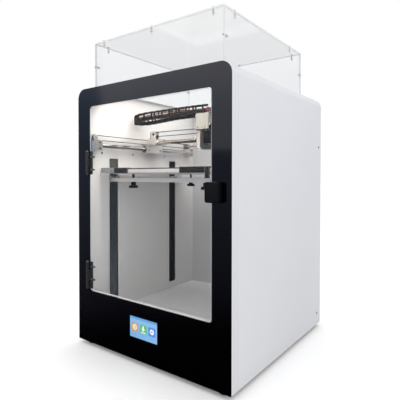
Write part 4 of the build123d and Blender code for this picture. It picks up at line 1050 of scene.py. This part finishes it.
# =============================== head ======================================
q = Piece("head_details")
q.box(6.4, 8.0, 214.4, 221.7, 551, 602, bakelite, 0.2)
for x, z in ((21, 600.4), (62, 600.4), (12.5, 553), (12.5, 600.4), (25.0, 553)):
    q.screw(x, 214.2, z, "Y", -1, 1.8, 1.1, screw_black)
for x in (34, 60):
    q.screw(x, 184, 611, "Y", -1, 1.9, 0.9, screw_black)
q.screw(70, 200, 611, "X", 1, 1.9, 0.9, screw_black)
q.screw(70, 252, 611, "X", 1, 1.9, 0.9, screw_black)
q.screw(16, 212, 611, "X", -1, 1.9, 0.9, screw_black)
for k in range(6):      # cooling slots in the cover's right side, drawn as thin dark patches: painted shade for the openings
    q.prism(rrect(206 + k * 7, 209 + k * 7, 620, 640, 1.4, 4), "X", 69.9, 70.06, seal_black_and_slot_shade)
q.done("head")

q = Piece("head_leads")
top = P(44, 200, 650)
for dx, dy, r, m in ((-6, -3, 1.9, wire_red), (-2, 0, 1.7, wire_brown), (2, -3, 1.8, wire_red), (5, 1, 2.0, wire_black), (-4, 3, 2.1, wire_black), (0, 5, 1.9, wire_white)):
    a, d = on_line(-0.5)
    start = a + Vector((0, dy * S * 0.8, (dx - 1) * S * 0.8 - 0.001))
    pts = smooth_path([start, start + Vector((0.007, 0.0005, 0.0)), top + Vector(((dx + 18) * S, dy * S, 0.010)), top + Vector(((dx + 21) * S, dy * S, 0.0)), top + Vector(((dx + 21) * S, dy * S, -0.006))], 6)
    q.tube(pts, r, m, 10)
q.lathe(44 + 21, 200, 650, "Z", [(0, 0.0), (10.8, 0.0), (10.8, 1.4), (9.6, 2.6), (8.8, 3.0), (0, 3.0)], black_satin, 32, closed=False)
q.done("head")

q = Piece("blower_details")
q.ring(circle(56.5, 576, 17.6, 40), circle(56.5, 576, 15.9, 40), "Y", 198.4, 199.2, black_plastic, 0.25, 2)
for a in (45, 135, 225, 315):
    c, s = math.cos(rad(a)), math.sin(rad(a))
    q.screw(56.5 + 30.5 * c, 198.8, 574.6 + 30.5 * s, "Y", -1, 2.2, 1.0, screw_steel)
q.prism(circle(56.5, 576, 8.6, 32), "Y", 201.6, 202.0, surface("hub_grey", (0.16, 0.16, 0.165), 0.4, tone=0.08, size=300), 0.15)
q.box(33.5, 36.5, 199.5, 212, 600.1, 602.2, wire_black, 0.4)
q.done("head")

q = Piece("heater_leads")
for k, (m, r) in enumerate(((wire_red, 1.1), (wire_white, 0.9))):
    x = 40 + k * 9
    q.tube(smooth_path([P(x, 255, 557), P(x, 259, 557.5), P(x + 1, 263, 562), P(x + 2, 268, 575), P(x + 1, 268.6, 590), P(x, 267.8, 603)], 6), r, m, 8)
q.lathe(46, 247, 563, "Z", [(0, 0), (3.4, 0), (3.4, 2), (0, 2)], screw_steel, 6, closed=False)
q.done("head")

# LED strip's diffuser.
q = Piece("light_diffuser")
q.prism(rrect(-168, 168, 6.2, 12.8, 2.8, 4), "Z", 697.0, 699.9, led_white, 0.4, 2)
q.done("cabinet")

# The power unit's terminal strip, seen from below only.
q = Piece("power_unit_terminals")
for k in range(9):
    q.box(-190 + 11 * k, -181 + 11 * k, 378, 384.9, 10, 24, black_plastic, 0.4)
    q.screw(-185.5 + 11 * k, 381, 24, "Z", 1, 2.6, 1.2, screw_steel)
q.done("cabinet")

# ============================ studio and camera ============================
def light(name, kind, loc, target, size, energy, colour=(1, 1, 1), size_y=None, spread=None):
    d = bpy.data.lights.new(name, kind)
    d.energy = energy
    d.color = colour
    if kind == "AREA":
        d.shape = "RECTANGLE"
        d.size, d.size_y = size, size_y or size
        if spread:
            d.spread = rad(spread)
    o = bpy.data.objects.new(name, d)
    o.location = loc
    o.rotation_euler = (Vector(target) - Vector(loc)).to_track_quat("-Z", "Y").to_euler()
    bpy.context.scene.collection.objects.link(o)
    return o


light("key", "AREA", (2.2, -1.1, 1.9), (0.1, 0, 0.4), 1.6, 8)
light("fill", "AREA", (-1.6, -2.4, 1.5), (0, 0, 0.4), 1.6, 5)
light("top", "AREA", (0.1, 0.1, 2.6), (0, 0, 0), 1.4, 4)
light("chamber_bar", "AREA", P(-10, 32, 694), P(-10, 250, 340), 0.33, 0.64, (1.0, 0.89, 0.775), 0.02, 150)
light("chamber_top", "AREA", P(0, 250, 845), P(-40, 250, 300), 0.38, 1.35, (1.0, 0.955, 0.915), 0.38, 110)
light("low", "AREA", (-0.25, -1.5, 0.42), P(0, 300, -60), 0.8, 0.95).visible_glossy = False

# Floor: a pale sheet with a faint mottle.
bm = bmesh.new()
corners = [bm.verts.new((x, y, 0)) for x, y in ((-30, -30), (30, -30), (30, 30), (-30, 30))]
bm.faces.new(corners)
me = bpy.data.meshes.new("floor")
bm.to_mesh(me)
bm.free()
floor = bpy.data.objects.new("floor", me)
me.materials.append(surface("floor_paper", (0.95, 0.95, 0.95), 0.8, tone=0.004, size=3, spec=0.2, glow=((1.0, 1.0, 1.0), 0.09)))
bpy.context.scene.collection.objects.link(floor)
floor.visible_glossy = False

w = bpy.data.worlds.new("studio")
bpy.context.scene.world = w
w.use_nodes = True
nd, lk = w.node_tree.nodes, w.node_tree.links
nd.clear()
out = nd.new("ShaderNodeOutputWorld")
tc = nd.new("ShaderNodeTexCoord")
sep = nd.new("ShaderNodeSeparateXYZ")
lk.new(tc.outputs["Generated"], sep.inputs[0])
h = _range(nd, lk, sep.outputs[2], -0.42, 0.30, 0.0, 1.0)
ramp = nd.new("ShaderNodeValToRGB")
ramp.color_ramp.elements[0].position, ramp.color_ramp.elements[0].color = 0.0, (0.0002, 0.0002, 0.0003, 1)
ramp.color_ramp.elements[1].position, ramp.color_ramp.elements[1].color = 1.0, (0.98, 0.99, 1.0, 1)
for at_h, c in ((0.08, (0.006, 0.006, 0.009)), (0.18, (0.065, 0.065, 0.10)), (0.30, (0.11, 0.115, 0.16)), (0.58, (0.21, 0.24, 0.36)),
                (0.70, (0.25, 0.285, 0.42)), (0.83, (0.30, 0.385, 0.56)), (0.93, (0.70, 0.71, 0.92))):
    ramp.color_ramp.elements.new(at_h).color = (*c, 1)
lk.new(h, ramp.inputs[0])
lp = nd.new("ShaderNodeLightPath")
plain = _mix(nd, lk, lp.outputs["Is Glossy Ray"], (1.0, 1.0, 1.0), ramp.outputs[0])
bg = nd.new("ShaderNodeBackground")
lk.new(plain, bg.inputs[0])
bg.inputs[1].default_value = 1.0
lk.new(bg.outputs[0], out.inputs[0])

cd = bpy.data.cameras.new("camera")
cd.sensor_width, cd.lens = 36, 35.264
cd.shift_y = -0.04335
cam = bpy.data.objects.new("camera", cd)
from mathutils import Matrix
cam.matrix_world = Matrix((
    (0.804576, -0.010328, 0.593760, 0.699293),
    (0.593849, 0.012655, -0.804477, -0.972231),
    (0.000795, 0.999867, 0.016315, 0.483942),
    (0, 0, 0, 1)))
bpy.context.scene.collection.objects.link(cam)
bpy.context.scene.camera = cam
bpy.context.scene.view_settings.view_transform = "Standard"
bpy.context.scene.cycles.transparent_max_bounces = 24
